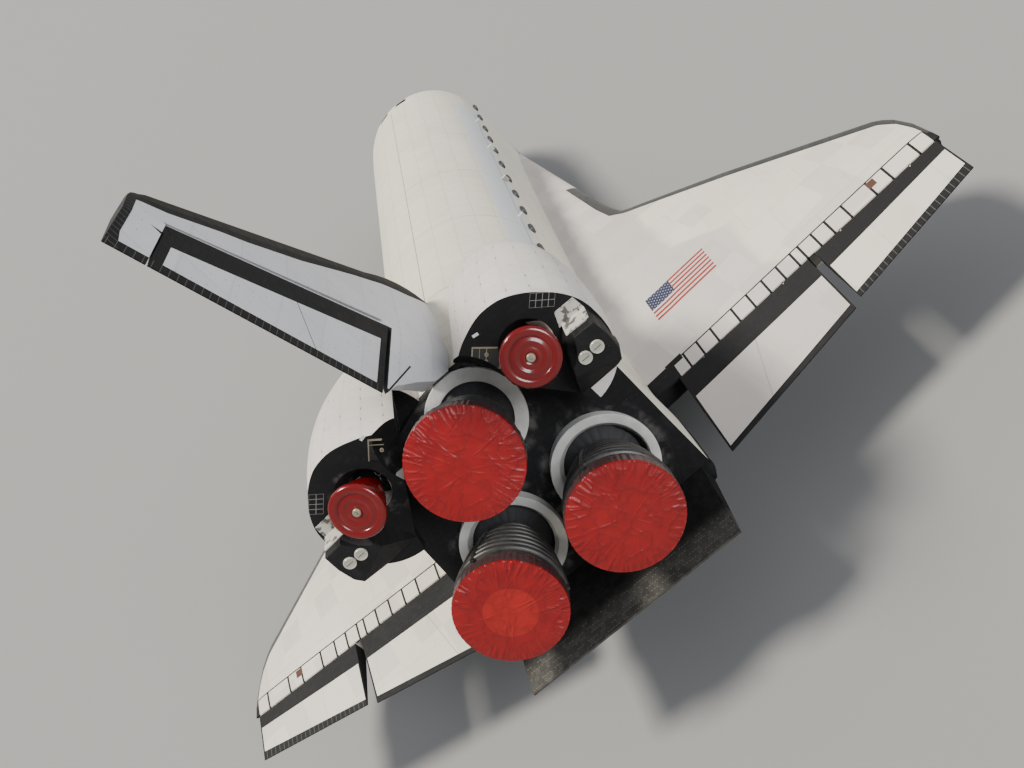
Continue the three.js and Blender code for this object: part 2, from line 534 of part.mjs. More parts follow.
function rudderPanel(side) {
  const rings = [RUDDER.low, RUDDER.high].map((z) => {
    const [hinge, tail, half] = [finHinge(z), finTail(z), finHalf(z)];
    return [at(RUDDER.inset, hinge - 30, z), at(half, hinge - 30, z), at(half, hinge, z), at(0.5, tail, z), at(RUDDER.inset, tail, z)];
  });
  const wedge = loft(rings);
  const aftOfHinge = alongX([[finHinge(500), 500], [1800, 500], [1800, 830], [finHinge(830), 830]], 0, 30);
  const nose = keep(rudderCone(0, rudderLength, 0), noseSector());
  const body = keep(wedge, join(aftOfHinge, nose));
  const trimmed = cut(body, cut(rudderRod(-60, 0, RUDDER.lowReach, 16), rudderRod(-61, 0, 0.1, 6)),
    rudderRod(rudderLength, rudderLength + 60, RUDDER.highReach, 16), rudderRod(-10, rudderLength + 10, RUDDER.core));
  const hubs = RUDDER_HUBS.filter((_, i) => (i % 2 === 0) === (side > 0)).map((share) => {
    const middle = share * rudderLength;
    const web = keep(rudderWeb(), rudderRod(middle - HUB.half, middle + HUB.half, RUDDER.core + 3));
    return cut(join(rudderRod(middle - HUB.half, middle + HUB.half, HUB.radius), web), rudderRod(-10, rudderLength + 10, boreOf(RUDDER.shaft)));
  });
  const whole = join(trimmed, ...hubs);
  return side > 0 ? whole : mirrored(whole);
}

// Half space on the port side between the hinge's outboard direction and the nose's end
function noseSector() {
  const aftward = new THREE.Vector3().crossVectors(at(1, 0, 0), RUDDER_AXIS).negate();
  const corner = (distance, angle, reach) => alongRudder(distance).addScaledVector(aftward, Math.cos(angle) * reach)
    .addScaledVector(at(1, 0, 0), Math.sin(angle) * reach);
  const angles = [60, 82, 104, RUDDER.noseTo].map(rad);
  return loft([-5, rudderLength + 5].map((d) => [alongRudder(d), ...angles.map((angle) => corner(d, angle, 26))]));
}

function rudderWeb() {
  const aftward = new THREE.Vector3().crossVectors(at(1, 0, 0), RUDDER_AXIS).negate();
  const corner = (distance, out, back) => alongRudder(distance).addScaledVector(aftward, back).addScaledVector(at(1, 0, 0), out);
  return loft([-5, rudderLength + 5].map((d) => [corner(d, 0.6, 1.6), corner(d, 2.4, 1.6), corner(d, 2.4, 7), corner(d, 0.6, 7)]));
}

// Wings and elevons

const tailZ = (x) => WING.rootTailZ + Math.tan(WING.dihedral) * x;
const topAtHinge = (x) => tailZ(x) + 9.85 - 0.0075 * x;
const lowAtHinge = (x) => tailZ(x) - 11.5 + 0.0145 * (x - 140);
const tailY = (x) => WING.tailBase + WING.tailSlope * x;

// Wing sections: distance across, nose station and height, peak station and height, low surface.
const WING_ROWS = [
  [106, 517, 300, 1150, 331, 268.6],
  [150, 795, 304, 1170, 329, 269.5],
  [176, 960, 309, 1185, 327, 271],
  [192, 1029, 312, 1200, 326, 272],
  [215, 1053, 312.5, 1213, 325, 273.5],
  [312, 1148, 313, 1270, 321, 281],
  [447, 1283, 309, 1350, 313, 290],
  [460, 1306, 307.5, 1360, 311, 292],
  [466, 1332, 306, 1372, 309, 294],
  [468.3, 1362, 304.5, 1384, 306, 297],
].map(([across, nose, noseZ, peak, peakZ, low]) => ({ across, nose, noseZ, peak, peakZ, low }));

function wingRing({ across: x, nose, noseZ, peak, peakZ, low }, inboard = 0) {
  const front = (t, reach, height) => [nose + reach * (1 - Math.cos(t)), noseZ + height * Math.sin(t)];
  const top = [0.12, 0.3, 0.55, 0.8, 1.1, 1.35].map((t) => front(t, peak - nose, peakZ - noseZ));
  const under = [0.35, 0.8, 1.2].map((t) => front(t, Math.min(90, (peak - nose) * 0.5), low - noseZ)).reverse();
  const hinge = WING.hinge;
  const aft = (share) => peak + (hinge - peak) * share;
  const topHinge = topAtHinge(x);
  const topMid = [0.35, 0.7].map((share) => [aft(share), peakZ - (peakZ - topHinge) * share ** 1.5]);
  const ring = [[nose, noseZ], ...top, [peak, peakZ], ...topMid, [hinge, topHinge], [tailY(x), tailZ(x) + 0.6],
    [tailY(x), tailZ(x) - 0.6], [hinge, lowAtHinge(x)], [aft(0.2), low], ...under];
  return ring.map(([y, z]) => at(x + inboard, y, z));
}

const wingBody = () => loft(WING_ROWS.map((row, i) => wingRing(row, i ? 0 : SEAT)));

// Local frame of the elevons' hinge line: across, aft, up
const HINGE_Z = (x) => topAtHinge(x) - ELEVON.topAxis;
const elevonRadius = (x) => HINGE_Z(x) - lowAtHinge(x);
const hingePoint = (x) => at(x, WING.hinge, HINGE_Z(x));

// An outline about the hinge line, drawn between two distances across; radii follow the wing.
function aboutHinge(outline, from, to) {
  return loft([from, to].map((x) => outline(elevonRadius(x)).map(([aft, up]) => at(x, WING.hinge + aft, HINGE_Z(x) + up))));
}

// Plan of the dark leading edge: its inner line from the glove out to the tip, then round outside.
const EDGE_INNER = [[146, 854], [167, 990], [177, 1036], [446, 1300], [457, 1322], [462, 1350], [463.5, 1372]];
const EDGE_OUTER = [[480, 1372], [500, 1200], [200, 854]];

function leadingEdge() {
  return keep(wingBody(), alongZ([...EDGE_INNER, ...EDGE_OUTER], 200, 400));
}

function elevonCove(from, to) {
  const big = aboutHinge((r) => [[-0.375 * r, -r - 30], [-0.375 * r, -r * 0.94], ...arc(0, 0, r + SWING, ELEVON.lipLow, 180, 5), [-r - SWING, 0.4], [0, 0.4],
    [150, 0.4], [150, -60]], from, to);
  const small = aboutHinge(() => [...arc(0, 0, ELEVON.topAxis + SWING, 70, 180, 4), [-2, -4], [30, -4], [30, 6]], from, to);
  const open = aboutHinge(() => [[-0.57 * ELEVON.topAxis - SWING, 2.4], [-0.57 * ELEVON.topAxis - SWING, 30], [200, 30], [200, 0], [3, 0]], from, to);
  return join(big, small, open);
}
function elevon(from, to) {
  const nose = aboutHinge((r) => [...arc(0, 0, r * 0.999, ELEVON.noseFrom, 270, 4), [0, 0], [0, 0.01 + ELEVON.topAxis],
    ...arc(0, 0, ELEVON.topAxis, 110, 201, 4)], from - 1, to + 1);
  const aft = aboutHinge(() => [[-0.05, -60], [160, -60], [160, 60], [-0.05, 60]], from - 1, to + 1);
  const zone = block([from, to], [1300, 1600], [200, 400]);
  return keep(keep(wingBody(), zone), join(nose, aft));
}

// Brackets that carry a hinged piece: plates and pins on the fixed side, slots and bores on the other
const BRACKET = { half: 0.8, high: 1.2, pin: 0.75, grip: 1.6 };

function bracketAt(point, axis, reach, low, high) {
  const { half, high: up, pin, grip } = BRACKET;
  const place = (shape) => shape.applyMatrix4(new THREE.Matrix4().makeBasis(axis, at(0, 1, 0),
    new THREE.Vector3().crossVectors(axis, at(0, 1, 0))).setPosition(point));
  const span = half + SWING + grip;
  return {
    fixed: join(place(block([-half, half], [-reach, up], [-up, up])), place(rod(at(-span, 0, 0), at(span, 0, 0), pin))),
    slot: place(block([-half - COLLAR, half + COLLAR], [-60, Math.hypot(up, up) + SWING], [low, high])),
    bore: place(rod(at(-span - SEAT, 0, 0), at(span + SEAT, 0, 0), boreOf(pin))),
  };
}

const WING_AXIS = hingePoint(400).sub(hingePoint(200)).normalize();
const ELEVON_BRACKETS = [172, 276, 348, 432];
const elevonBrackets = (from, to) => ELEVON_BRACKETS.filter((x) => x > from && x < to)
  .map((x) => bracketAt(hingePoint(x), WING_AXIS, elevonRadius(x) + 3, -40, 40));

function wing() {
  const forward = alongZ([[146 - SEAT, 854 - SEAT], ...EDGE_INNER.slice(1).map(([x, y]) => [x - SEAT, y + SEAT]),
    [480, 1372 + SEAT], [500, 1200], [200, 854 - SEAT]], 200, 400);
  const body = hull(AFT_ROWS, BAY.end, 1540, -SEAT);
  const well = block([100, 166], [1108, 1232], [255, MAIN_GEAR.wellTop]);
  const panel = cut(wingBody(), forward, elevonCove(90, 480), well, body);
  return join(panel, ...elevonBrackets(0, 480).map(({ fixed }) => fixed));
}

// An elevon on its brackets, hanging down by its droop
function hungElevon([from, to], droop) {
  const brackets = elevonBrackets(from, to);
  const level = cut(elevon(from, to), ...brackets.flatMap(({ slot, bore }) => [slot, bore]));
  const home = hingePoint((from + to) / 2);
  const turn = new THREE.Matrix4().makeRotationAxis(WING_AXIS, -droop);
  return level.translate(-home.x, -home.y, -home.z).applyMatrix4(turn).translate(home.x, home.y, home.z);
}

// Body flap
const FLAP_BRACKETS = [-80, 80];
const flapPoint = (x) => at(x, FLAP.hinge, FLAP.z);
const flapBrackets = () => FLAP_BRACKETS.map((x) => bracketAt(flapPoint(x), at(1, 0, 0), FLAP.nose + 3, -40, 40));

function bodyFlap() {
  const { hinge, z, nose, half, tail, tailZ: end } = FLAP;
  const outline = [...arc(hinge, z, nose, 90, 270, 10), [tail, end - 1], [tail, end + 1]];
  return cut(alongX(outline, -half, half), ...flapBrackets().flatMap(({ slot, bore }) => [slot, bore]));
}

function flapCove() {
  const { hinge, z, nose } = FLAP;
  return join(alongX(arc(hinge, z, nose + SWING, 0, 360, 20).slice(1), -150, 150),
    alongX([[hinge - 2.6, z + nose - 1], [hinge - 2.6, z + nose + 1.2], [hinge + 40, z + nose + 1.2], [hinge + 40, z]], -150, 150),
    alongX([[hinge - 4.6, z - nose], [hinge + 40, z], [hinge + 40, 200], [hinge - 4.6, 200]], -150, 150));
}

// Manoeuvring pods on the aft shoulders
// Pod sections: station, distance across, height, half width, half height.
const POD_ROWS = [
  [1312, 64, 478, 12, 14],
  [1326, 68, 481, 27, 26],
  [1350, 73, 484, 40, 38],
  [1390, 80, 486, 51, 50],
  [1440, 87, 487, 58, 58],
  [1490, 91, 487, 60.5, 62],
  [1530, 93, 487, 60, 64],
  [1552, 93, 487, 58, 62],
].map(([station, across, height, wide, high]) => ({ station, across, height, wide, high }));

// Room for a pod's nozzle and plug at every pitch and yaw: radius, distance aft of the gimbal.
const POD_ROOM = [[0, -8], [19, -8], [19, 28], [25.4, 40.5], [30.6, 54], [35.8, 59.6], [37, 90], [0, 90]];

// The upper engine's bell with room round it, and its tilts and turns towards a pod
const BELL_ROOM = [[0, 40], [15.6, 40], [20.2, 52], [28.9, 68], [37.5, 93], [44.5, 124], [47.4, 146], [0, 146]];
const UPPER_SWINGS = [[15.8, 8.9], [21, 9.1], [26.2, 9.5], [26.4, 5]];
const POD_SIDES = 18;

function pod() {
  const body = loft(POD_ROWS.map(({ station, across, height, wide, high }) => Array.from({ length: POD_SIDES }, (_, i) => {
    const t = (2 * Math.PI * i) / POD_SIDES;
    const [c, s] = [Math.cos(t), Math.sin(t)];
    return at(across + wide * Math.sign(c) * Math.abs(c) ** 0.9, station, height + high * Math.sign(s) * Math.abs(s) ** 0.9);
  })));
  const thrusters = block([121, 146], [1525, 1582], [440, 498]);
  const under = alongY([[-50, 643], [33, 528], [94, 443], [101, 421.7], [138, 436], [200, 460], [200, 100], [-50, 100]], 1466, 1700);
  const engine = PODS[0];
  const throat = onEngine(engine, turned(POD_ROOM, at(0, 0, 0), FORWARDS));
  const bellRooms = UPPER_SWINGS.map(([tilt, turn]) => onEngine({ ...ENGINES[0], tilt: rad(tilt), turn: rad(turn) },
    turned(BELL_ROOM, at(0, 0, 0), FORWARDS)));
  const inner = hull(AFT_ROWS, BAY.end, 1540, -SEAT);
  const finClear = loft([finRing(480, 1290), finRing(600, 1290)]).scale(1.15, 1, 1);
  return join(cut(join(body, thrusters), under, throat, inner, finClear, ...bellRooms), onEngine(engine, POD_GIMBAL.fixed));
}

// Gear
const tyre = (radius, width, rim) => {
  const [h, r] = [width / 2, radius];
  return [[rim, -h * 0.8], [r * 0.8, -h], [r, -h * 0.5], [r, h * 0.5], [r * 0.8, h], [rim, h * 0.8]];
};

function wheelPair({ tyre: radius, width }, gap, middle, shaft, hub) {
  const rim = radius * 0.55;
  const wheels = [-1, 1].map((side) => {
    const profile = [[0, -width * 0.25], ...tyre(radius, width, rim), [0, width * 0.25]];
    return turned(profile, middle.clone().add(at(side * (gap + width / 2), 0, 0)), at(1, 0, 0));
  });
  const along = (x) => middle.clone().add(at(x, 0, 0));
  const collars = [-1, 1].map((side) => rod(along(side * (hub + COLLAR)), along(side * (gap + width * 0.3)), shaft * 1.6));
  return join(...wheels, ...collars, rod(along(-gap - width / 2), along(gap + width / 2), shaft));
}

const noseAxle = at(0, NOSE_GEAR.station, NOSE_GEAR.axleZ);
const mainAxle = at(MAIN_GEAR.across, MAIN_GEAR.station, MAIN_GEAR.axleZ);
const NOSE_STEM = { radius: 2.2, low: 246, high: 262 };

function noseLeg() {
  const { station, wellTop } = NOSE_GEAR;
  const strut = rod(at(0, station, 252), at(0, station, wellTop - SEAT), 4.4, ROUND.middle);
  const drag = rod(at(0, station - 4, 268), at(0, 330, wellTop - 8), 1.8);
  const head = block([-5, 5], [322, 332], [wellTop - 12, wellTop - SEAT]);
  const cross = block([-13, 13], [station - 2.5, station + 2.5], [wellTop - 8, wellTop - SEAT]);
  const bore = rod(at(0, station, 250), at(0, station, NOSE_STEM.high + SEAT), boreOf(NOSE_STEM.radius));
  return cut(join(strut, drag, head, cross), bore);
}

function noseFork() {
  const { station, axleZ } = NOSE_GEAR;
  const stem = rod(at(0, station, 244), at(0, station, NOSE_STEM.high), NOSE_STEM.radius);
  const collar = rod(at(0, station, axleZ + 4), at(0, station, 252 - SEAT), 3.6, 10);
  const hub = rod(at(-3.2, station, axleZ), at(3.2, station, axleZ), 4.4, 10);
  const bore = rod(at(-6, station, axleZ), at(6, station, axleZ), boreOf(1.9));
  return cut(join(stem, collar, rod(at(0, station, axleZ), at(0, station, axleZ + 8), 3.2, 10), hub), bore);
}

function mainLeg() {
  const { station, across: x, axleZ, wellTop } = MAIN_GEAR;
  const strut = rod(at(x, station, axleZ), at(x, station, wellTop - SEAT), 5.6, 10);
  const hub = rod(at(x - 6.4, station, axleZ), at(x + 6.4, station, axleZ), 6.6, 10);
  const brace = rod(at(x, station, 232), at(x, station - 46, wellTop - 4), 2.4);
  const head = block([x - 6, x + 6], [station - 52, station - 42], [wellTop - 10, wellTop - SEAT]);
  const side = rod(at(x, station, 240), at(x + 24, station, wellTop - 5), 2);
  const lug = block([x + 20, x + 28], [station - 4, station + 4], [wellTop - 9, wellTop - SEAT]);
  const bore = rod(at(x - 9, station, axleZ), at(x + 9, station, axleZ), boreOf(2.8));
  return cut(join(strut, hub, brace, head, side, lug), bore);
}

// A gear door hanging open inside its well's side wall: a leaning panel and two arms up the wall.
function gearDoor(wall, lean, fromY, toY, mouth, drop) {
  const x = wall - SEAT - 2;
  const panel = alongY([[x, mouth], [x + 1.6, mouth], [x + lean + 1.6, mouth - drop], [x + lean, mouth - drop]], fromY, toY);
  const arms = [fromY + 12, toY - 16].map((y) => block([x, x + 2], [y, y + 4], [mouth - 1, mouth + 14]));
  return join(panel, ...arms);
}

const material = (color, roughness = 0.6, metalness = 0) => new THREE.MeshStandardMaterial({ color, roughness, metalness });
const craft = new THREE.Group();

function add(name, geometry, finish) {
  const shape = geometry.clone().applyMatrix4(new THREE.Matrix4().makeScale(INCH, INCH, INCH));
  const mesh = new THREE.Mesh(shape, finish);
  mesh.name = name;
  craft.add(mesh);
}

function addPair(name, geometry, finish) {
  add(`${name}_port`, geometry, finish);
  add(`${name}_starboard`, mirrored(geometry), finish);
}

const white = material(0xe9e6dc);
const black = material(0x222222);
const red = material(0xb01018);
const grey = material(0x666666);
const tyreBlack = material(0x181818, 0.9);
const steel = material(0x9a9a98, 0.4, 0.8);
add('nose_cap', hull(HULL_ROWS, 238.2, FORWARD.capEnd), grey);
add('forward_fuselage', forwardFuselage(), white);
add('forward_thruster_module', thrusterModule(), white);
add('windshield', windshield(PANES, FORWARD.cabinStart + SEAT, 428, 408), black);
add('overhead_windows', windshield([OVERHEAD], 470, 504, 480), black);
add('flight_deck', flightDeck(), grey);
add('side_hatch', sideHatch(), white);
add('mid_fuselage', midFuselage(), white);
addPair('payload_door', payloadDoor(), white);
addPair('radiator', radiator(), steel);
add('aft_fuselage', aftFuselage(), black);
add('vertical_fin', verticalFin(), white);
add('rudder_shaft', rudderShaft(), steel);
add('rudder_panel_port', rudderPanel(1), white);
add('rudder_panel_starboard', rudderPanel(-1), white);
addPair('wing', wing(), white);
addPair('leading_edge', leadingEdge(), grey);
addPair('elevon_inboard', hungElevon(ELEVON.inner, ELEVON.innerDroop), white);
addPair('elevon_outboard', hungElevon(ELEVON.outer, ELEVON.outerDroop), white);
add('body_flap', bodyFlap(), black);
addPair('pod', pod(), white);
for (const engine of ENGINES) {
  add(`engine_gimbal_${engine.name}`, onEngine(engine, MAIN_GIMBAL.middle), steel);
  add(`engine_nozzle_${engine.name}`, onEngine(engine, engineNozzle(engine)), black);
  add(`engine_cover_${engine.name}`, onEngine(engine, engineCover()), red);
}
for (const engine of PODS) {
  add(`pod_gimbal_${engine.name}`, onEngine(engine, POD_GIMBAL.middle), steel);
  add(`pod_nozzle_${engine.name}`, onEngine(engine, podNozzle()), black);
  add(`pod_plug_${engine.name}`, onEngine(engine, podPlug()), red);
}
add('nose_gear_leg', noseLeg(), steel);
add('nose_gear_fork', noseFork(), steel);
add('nose_wheels', wheelPair(NOSE_GEAR, 3.6, noseAxle, 1.9, 3.2), tyreBlack);
addPair('main_gear_leg', mainLeg(), steel);
addPair('main_wheels', wheelPair(MAIN_GEAR, 7, mainAxle, 2.8, 6.4), tyreBlack);
addPair('nose_gear_door', gearDoor(17, 5, 322, 400, 268, 24), white);
addPair('main_gear_door', gearDoor(166, 8, 1112, 1228, 268, 62), white);

// Parked: nose down on the gear, lowest tyre at zero, middle of the box over the origin
const parked = new THREE.Group();
parked.add(craft);
craft.rotation.x = PARKED;
parked.updateMatrixWorld(true);
const box = new THREE.Box3().setFromObject(parked, true);
craft.position.set(0, -(box.min.y + box.max.y) / 2, -box.min.z);

export default parked;
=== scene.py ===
"""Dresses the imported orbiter: quilted blankets, tiles, dark edges, nozzles, cloth covers and gear.

Shapes are worked out in station inches (x to port, y aft, z up). The Craft class places them in the
row frame, in metres.
"""

import json
import logging
import math
from dataclasses import dataclass
from enum import Enum
from typing import Callable, Iterable, Sequence

import bmesh
import bpy
import numpy as np
from mathutils import Matrix, Vector

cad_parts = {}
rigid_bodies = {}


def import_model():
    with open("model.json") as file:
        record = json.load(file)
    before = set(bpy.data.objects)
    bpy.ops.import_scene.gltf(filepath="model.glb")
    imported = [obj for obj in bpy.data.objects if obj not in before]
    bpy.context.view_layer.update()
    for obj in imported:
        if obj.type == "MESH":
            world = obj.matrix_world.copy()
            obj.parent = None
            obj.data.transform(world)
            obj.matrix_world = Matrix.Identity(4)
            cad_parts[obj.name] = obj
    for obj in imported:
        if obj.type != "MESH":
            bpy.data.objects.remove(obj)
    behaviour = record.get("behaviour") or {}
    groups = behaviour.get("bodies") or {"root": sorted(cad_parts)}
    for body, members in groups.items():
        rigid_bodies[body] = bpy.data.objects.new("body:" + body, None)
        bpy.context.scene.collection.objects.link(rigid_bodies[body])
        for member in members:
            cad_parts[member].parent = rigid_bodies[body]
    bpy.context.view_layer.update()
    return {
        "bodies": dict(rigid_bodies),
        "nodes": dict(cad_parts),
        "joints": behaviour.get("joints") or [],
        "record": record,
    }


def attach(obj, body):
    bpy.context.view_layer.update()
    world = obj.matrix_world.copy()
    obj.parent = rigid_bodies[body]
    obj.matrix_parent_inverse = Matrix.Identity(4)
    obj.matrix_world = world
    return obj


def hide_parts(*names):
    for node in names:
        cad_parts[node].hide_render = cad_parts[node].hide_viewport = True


INCH = 0.0254
LOG = logging.getLogger("orbiter")
Colour = tuple[float, float, float]
Pair = tuple[float, float]
FORWARD, UP, PORT = Vector((0, -1, 0)), Vector((0, 0, 1)), Vector((1, 0, 0))
# Half the width of the fuselage along the bay, and the height of its round top's axis
HULL_HALF, ROUND_AXIS = 106, 395
# Middle of the nose wheels and of the port main wheels
NOSE_WHEELS, MAIN_WHEELS = (0.0, 377.0, 223.0), (136.0, 1172.0, 187.3)
# How far aft the fin's hinge line runs for each inch up, and its direction
HINGE_SLOPE = 0.6959
HINGE_LINE = Vector((0, HINGE_SLOPE, 1)).normalized()


class Join(Enum):
    """How a tool shape changes a body."""

    CUT = "DIFFERENCE"
    KEEP = "INTERSECT"
    ADD = "UNION"


class Plane(Enum):
    """The two station axes that a grid of tiles is drawn on."""

    PLAN = ("x", "y")
    SIDE = ("y", "z")
    BACK = ("x", "z")


@dataclass(frozen=True)
class Craft:
    """Where the craft's station inches lie in the row frame."""

    pitch: float
    origin: Vector

    @classmethod
    def from_frame(cls, frame: dict) -> "Craft":
        """Finds the craft's place from its wheel axles.


        Returns:
            The craft's pitch and the place of its station origin.
        """
        places = {joint["name"]: Vector(joint["pos_m"]) for joint in frame["joints"]}
        nose = places["nose_wheels_spin"]
        main = (places["main_wheels_port_spin"] + places["main_wheels_starboard_spin"]) / 2
        nose_station, main_station = Vector(NOSE_WHEELS), Vector((0, *MAIN_WHEELS[1:]))
        here, there = main - nose, main_station - nose_station
        pitch = math.atan2(here.z, here.y) - math.atan2(there.z, there.y)
        turned_nose = Matrix.Rotation(pitch, 3, "X") @ nose_station * INCH
        return cls(pitch, nose - turned_nose)

    def matrix(self) -> Matrix:
        """The matrix from station inches to the row frame."""
        return Matrix.Translation(self.origin) @ Matrix.Rotation(self.pitch, 4, "X") @ Matrix.Scale(INCH, 4)

    def place(self, x: float, y: float, z: float) -> Vector:
        """A station point in the row frame."""
        return self.matrix() @ Vector((x, y, z))

    def direction(self, vector: Vector) -> Vector:
        """A station direction in the row frame."""
        return Matrix.Rotation(self.pitch, 3, "X") @ vector


class Shape:
    """Points in station inches and the faces between them, before they become a mesh."""

    def __init__(self, points: Iterable, faces: Iterable[Sequence[int]]) -> None:
        """Keeps the points as an array and the faces as tuples."""
        self.points = np.asarray(list(points) if not isinstance(points, np.ndarray) else points, float)
        self.points = self.points.reshape(-1, 3)
        self.faces = [tuple(int(i) for i in face) for face in faces]

    def __add__(self, other: "Shape") -> "Shape":
        """Both shapes side by side, not merged."""
        shift = len(self.points)
        faces = self.faces + [tuple(i + shift for i in face) for face in other.faces]
        return Shape(np.vstack([self.points, other.points]), faces)

    def mirrored(self) -> "Shape":
        """The shape on the other side of the craft."""
        return Shape(self.points * (-1, 1, 1), [face[::-1] for face in self.faces])

    def both(self) -> "Shape":
        """The shape and its mirror image."""
        return self + self.mirrored()

    def moved(self, matrix: Matrix) -> "Shape":
        """The shape after a 4 by 4 matrix."""
        m = np.array(matrix, float)
        return Shape(self.points @ m[:3, :3].T + m[:3, 3], self.faces)

    def mesh(self, name: str) -> bpy.types.Mesh:
        """A mesh of the shape with doubled points merged and faces pointing out."""
        mesh = bpy.data.meshes.new(name)
        mesh.from_pydata([tuple(p) for p in self.points], [], self.faces)
        work = bmesh.new()
        work.from_mesh(mesh)
        bmesh.ops.remove_doubles(work, verts=work.verts, dist=0.002)
        bmesh.ops.recalc_face_normals(work, faces=work.faces)
        work.to_mesh(mesh)
        work.free()
        return mesh


def combined(shapes: Iterable[Shape]) -> Shape:
    """All the shapes as one."""
    shapes = list(shapes)
    total = shapes[0]
    for shape in shapes[1:]:
        total = total + shape
    return total


def on_side(shape: Shape, side: str) -> Shape:
    """A port shape on the named side of the craft."""
    return shape if side == "port" else shape.mirrored()


def skin(rings: np.ndarray, closed: bool = True, capped: bool = True) -> Shape:
    """A surface through rings with the same number of points.

    Args:
        rings: Array of rings, points and coordinates.
        closed: Whether each ring joins its end to its start.
        capped: Whether the first and last ring are filled.

    Returns:
        The surface.
    """
    rings = np.asarray(rings, float)
    count, size = rings.shape[:2]
    faces = []
    for i in range(count - 1):
        for j in range(size if closed else size - 1):
            k = (j + 1) % size
            faces.append((i * size + j, i * size + k, (i + 1) * size + k, (i + 1) * size + j))
    if capped:
        faces.append(tuple(range(size))[::-1])
        faces.append(tuple((count - 1) * size + j for j in range(size)))
    return Shape(rings.reshape(-1, 3), faces)


def prism(outline: Sequence[Pair], axis: str, low: float, high: float) -> Shape:
    """An outline of two coordinates, drawn along the third axis."""
    order = {"x": (2, 0, 1), "y": (0, 2, 1), "z": (0, 1, 2)}[axis]
    rings = [[np.array((a, b, level))[list(order)] for a, b in outline] for level in (low, high)]
    return skin(np.array(rings))


def block(x: Pair, y: Pair, z: Pair) -> Shape:
    """A box between two values on each axis."""
    return prism([(x[0], y[0]), (x[1], y[0]), (x[1], y[1]), (x[0], y[1])], "z", *z)


def arc(centre: Pair, radius: float, start: float, end: float, steps: int) -> list[Pair]:
    """Points of an arc, with its angles in degrees."""
    angles = np.radians(np.linspace(start, end, steps + 1))
    return [(centre[0] + radius * math.cos(t), centre[1] + radius * math.sin(t)) for t in angles]


def stand(origin: Sequence[float], axis: Vector, up: Vector | None = None) -> Matrix:
    """A matrix whose y axis lies along axis, for pieces built about the origin along y."""
    y = Vector(axis).normalized()
    hint = up if up is not None else (UP if abs(y.z) < 0.9 else PORT)
    x = y.cross(hint).normalized()
    z = x.cross(y)
    return Matrix.Translation(Vector(origin)) @ Matrix((x, y, z)).transposed().to_4x4()


def turned(profile: Sequence[Pair], place: Matrix, sides: int = 64, capped: bool = False) -> Shape:
    """A turned piece.

    Args:
        profile: Radius and distance along y of each point.
        place: Where the piece's own frame stands.
        sides: How many steps round the axis.
        capped: Whether the profile joins its end to its start.

    Returns:
        The turned surface.
    """
    points = list(profile) + ([profile[0]] if capped else [])
    t = np.linspace(0, 2 * math.pi, sides, endpoint=False)
    rings = [np.stack([r * np.cos(t), np.full(sides, d), r * np.sin(t)], axis=1) for r, d in points]
    return skin(np.array(rings), capped=False).moved(place)


def bar(start: Sequence[float], end: Sequence[float], radius: float, sides: int = 20) -> Shape:
    """A round bar with rounded rims between two points."""
    a, b = Vector(start), Vector(end)
    length, rim = (b - a).length, min(radius * 0.12, 0.3)
    foot = [(0, 0), (radius - rim, 0), (radius, rim)]
    return turned(foot + [(r, length - d) for r, d in foot[::-1]], stand(a, b - a), sides)


def pipe(path: Sequence[Sequence[float]], radius: float, sides: int = 10) -> Shape:
    """A tube along a path of points, with closed ends."""
    points = [Vector(p) for p in path]
    rings = []
    side = None
    for i, point in enumerate(points):
        along = (points[min(i + 1, len(points) - 1)] - points[max(i - 1, 0)]).normalized()
        side = (along.orthogonal() if side is None else side - along * side.dot(along)).normalized()
        other = along.cross(side)
        turn = [2 * math.pi * k / sides for k in range(sides)]
        rings.append([point + side * math.cos(t) * radius + other * math.sin(t) * radius for t in turn])
    return skin(np.array([[tuple(p) for p in ring] for ring in rings]))


def carve(body: Shape, tools: Sequence[Shape], how: Join) -> Shape:
    """Joins, cuts or trims a closed body by closed tools.

    Args:
        body: The shape that is changed.
        tools: The shapes that change it, one after the other.
        how: What each tool does.

    Returns:
        The changed shape.
    """
    scene = bpy.context.scene.collection
    objects = [bpy.data.objects.new("carving", shape.mesh("carving")) for shape in (body, *tools)]
    for item in objects:
        scene.objects.link(item)
    for tool in objects[1:]:
        modifier = objects[0].modifiers.new("carve", "BOOLEAN")
        modifier.operation, modifier.solver, modifier.object = how.value, "EXACT", tool
    bpy.context.view_layer.update()
    result = objects[0].evaluated_get(bpy.context.evaluated_depsgraph_get()).to_mesh()
    points = np.zeros(len(result.vertices) * 3)
    result.vertices.foreach_get("co", points)
    shape = Shape(points, [tuple(polygon.vertices) for polygon in result.polygons])
    for item in objects:
        mesh = item.data
        bpy.data.objects.remove(item)
        bpy.data.meshes.remove(mesh)
    return shape


def smooth_curve(xs: Sequence[float], ys: Sequence[float], x: float) -> float:
    """A smooth curve through points that never overshoots them."""
    xs, ys = np.asarray(xs, float), np.asarray(ys, float)
    slopes = np.diff(ys) / np.diff(xs)
    tangents = np.zeros(len(xs))
    tangents[0], tangents[-1] = slopes[0], slopes[-1]
    inner = slopes[:-1] * slopes[1:]
    tangents[1:-1] = np.where(inner > 0, 2 * inner / np.where(inner > 0, slopes[:-1] + slopes[1:], 1), 0)
    i = int(np.clip(np.searchsorted(xs, x) - 1, 0, len(xs) - 2))
    h = xs[i + 1] - xs[i]
    t = float(np.clip((x - xs[i]) / h, 0, 1))
    return float((2 * t**3 - 3 * t**2 + 1) * ys[i] + (t**3 - 2 * t**2 + t) * h * tangents[i]
                 + (3 * t**2 - 2 * t**3) * ys[i + 1] + (t**3 - t**2) * h * tangents[i + 1])


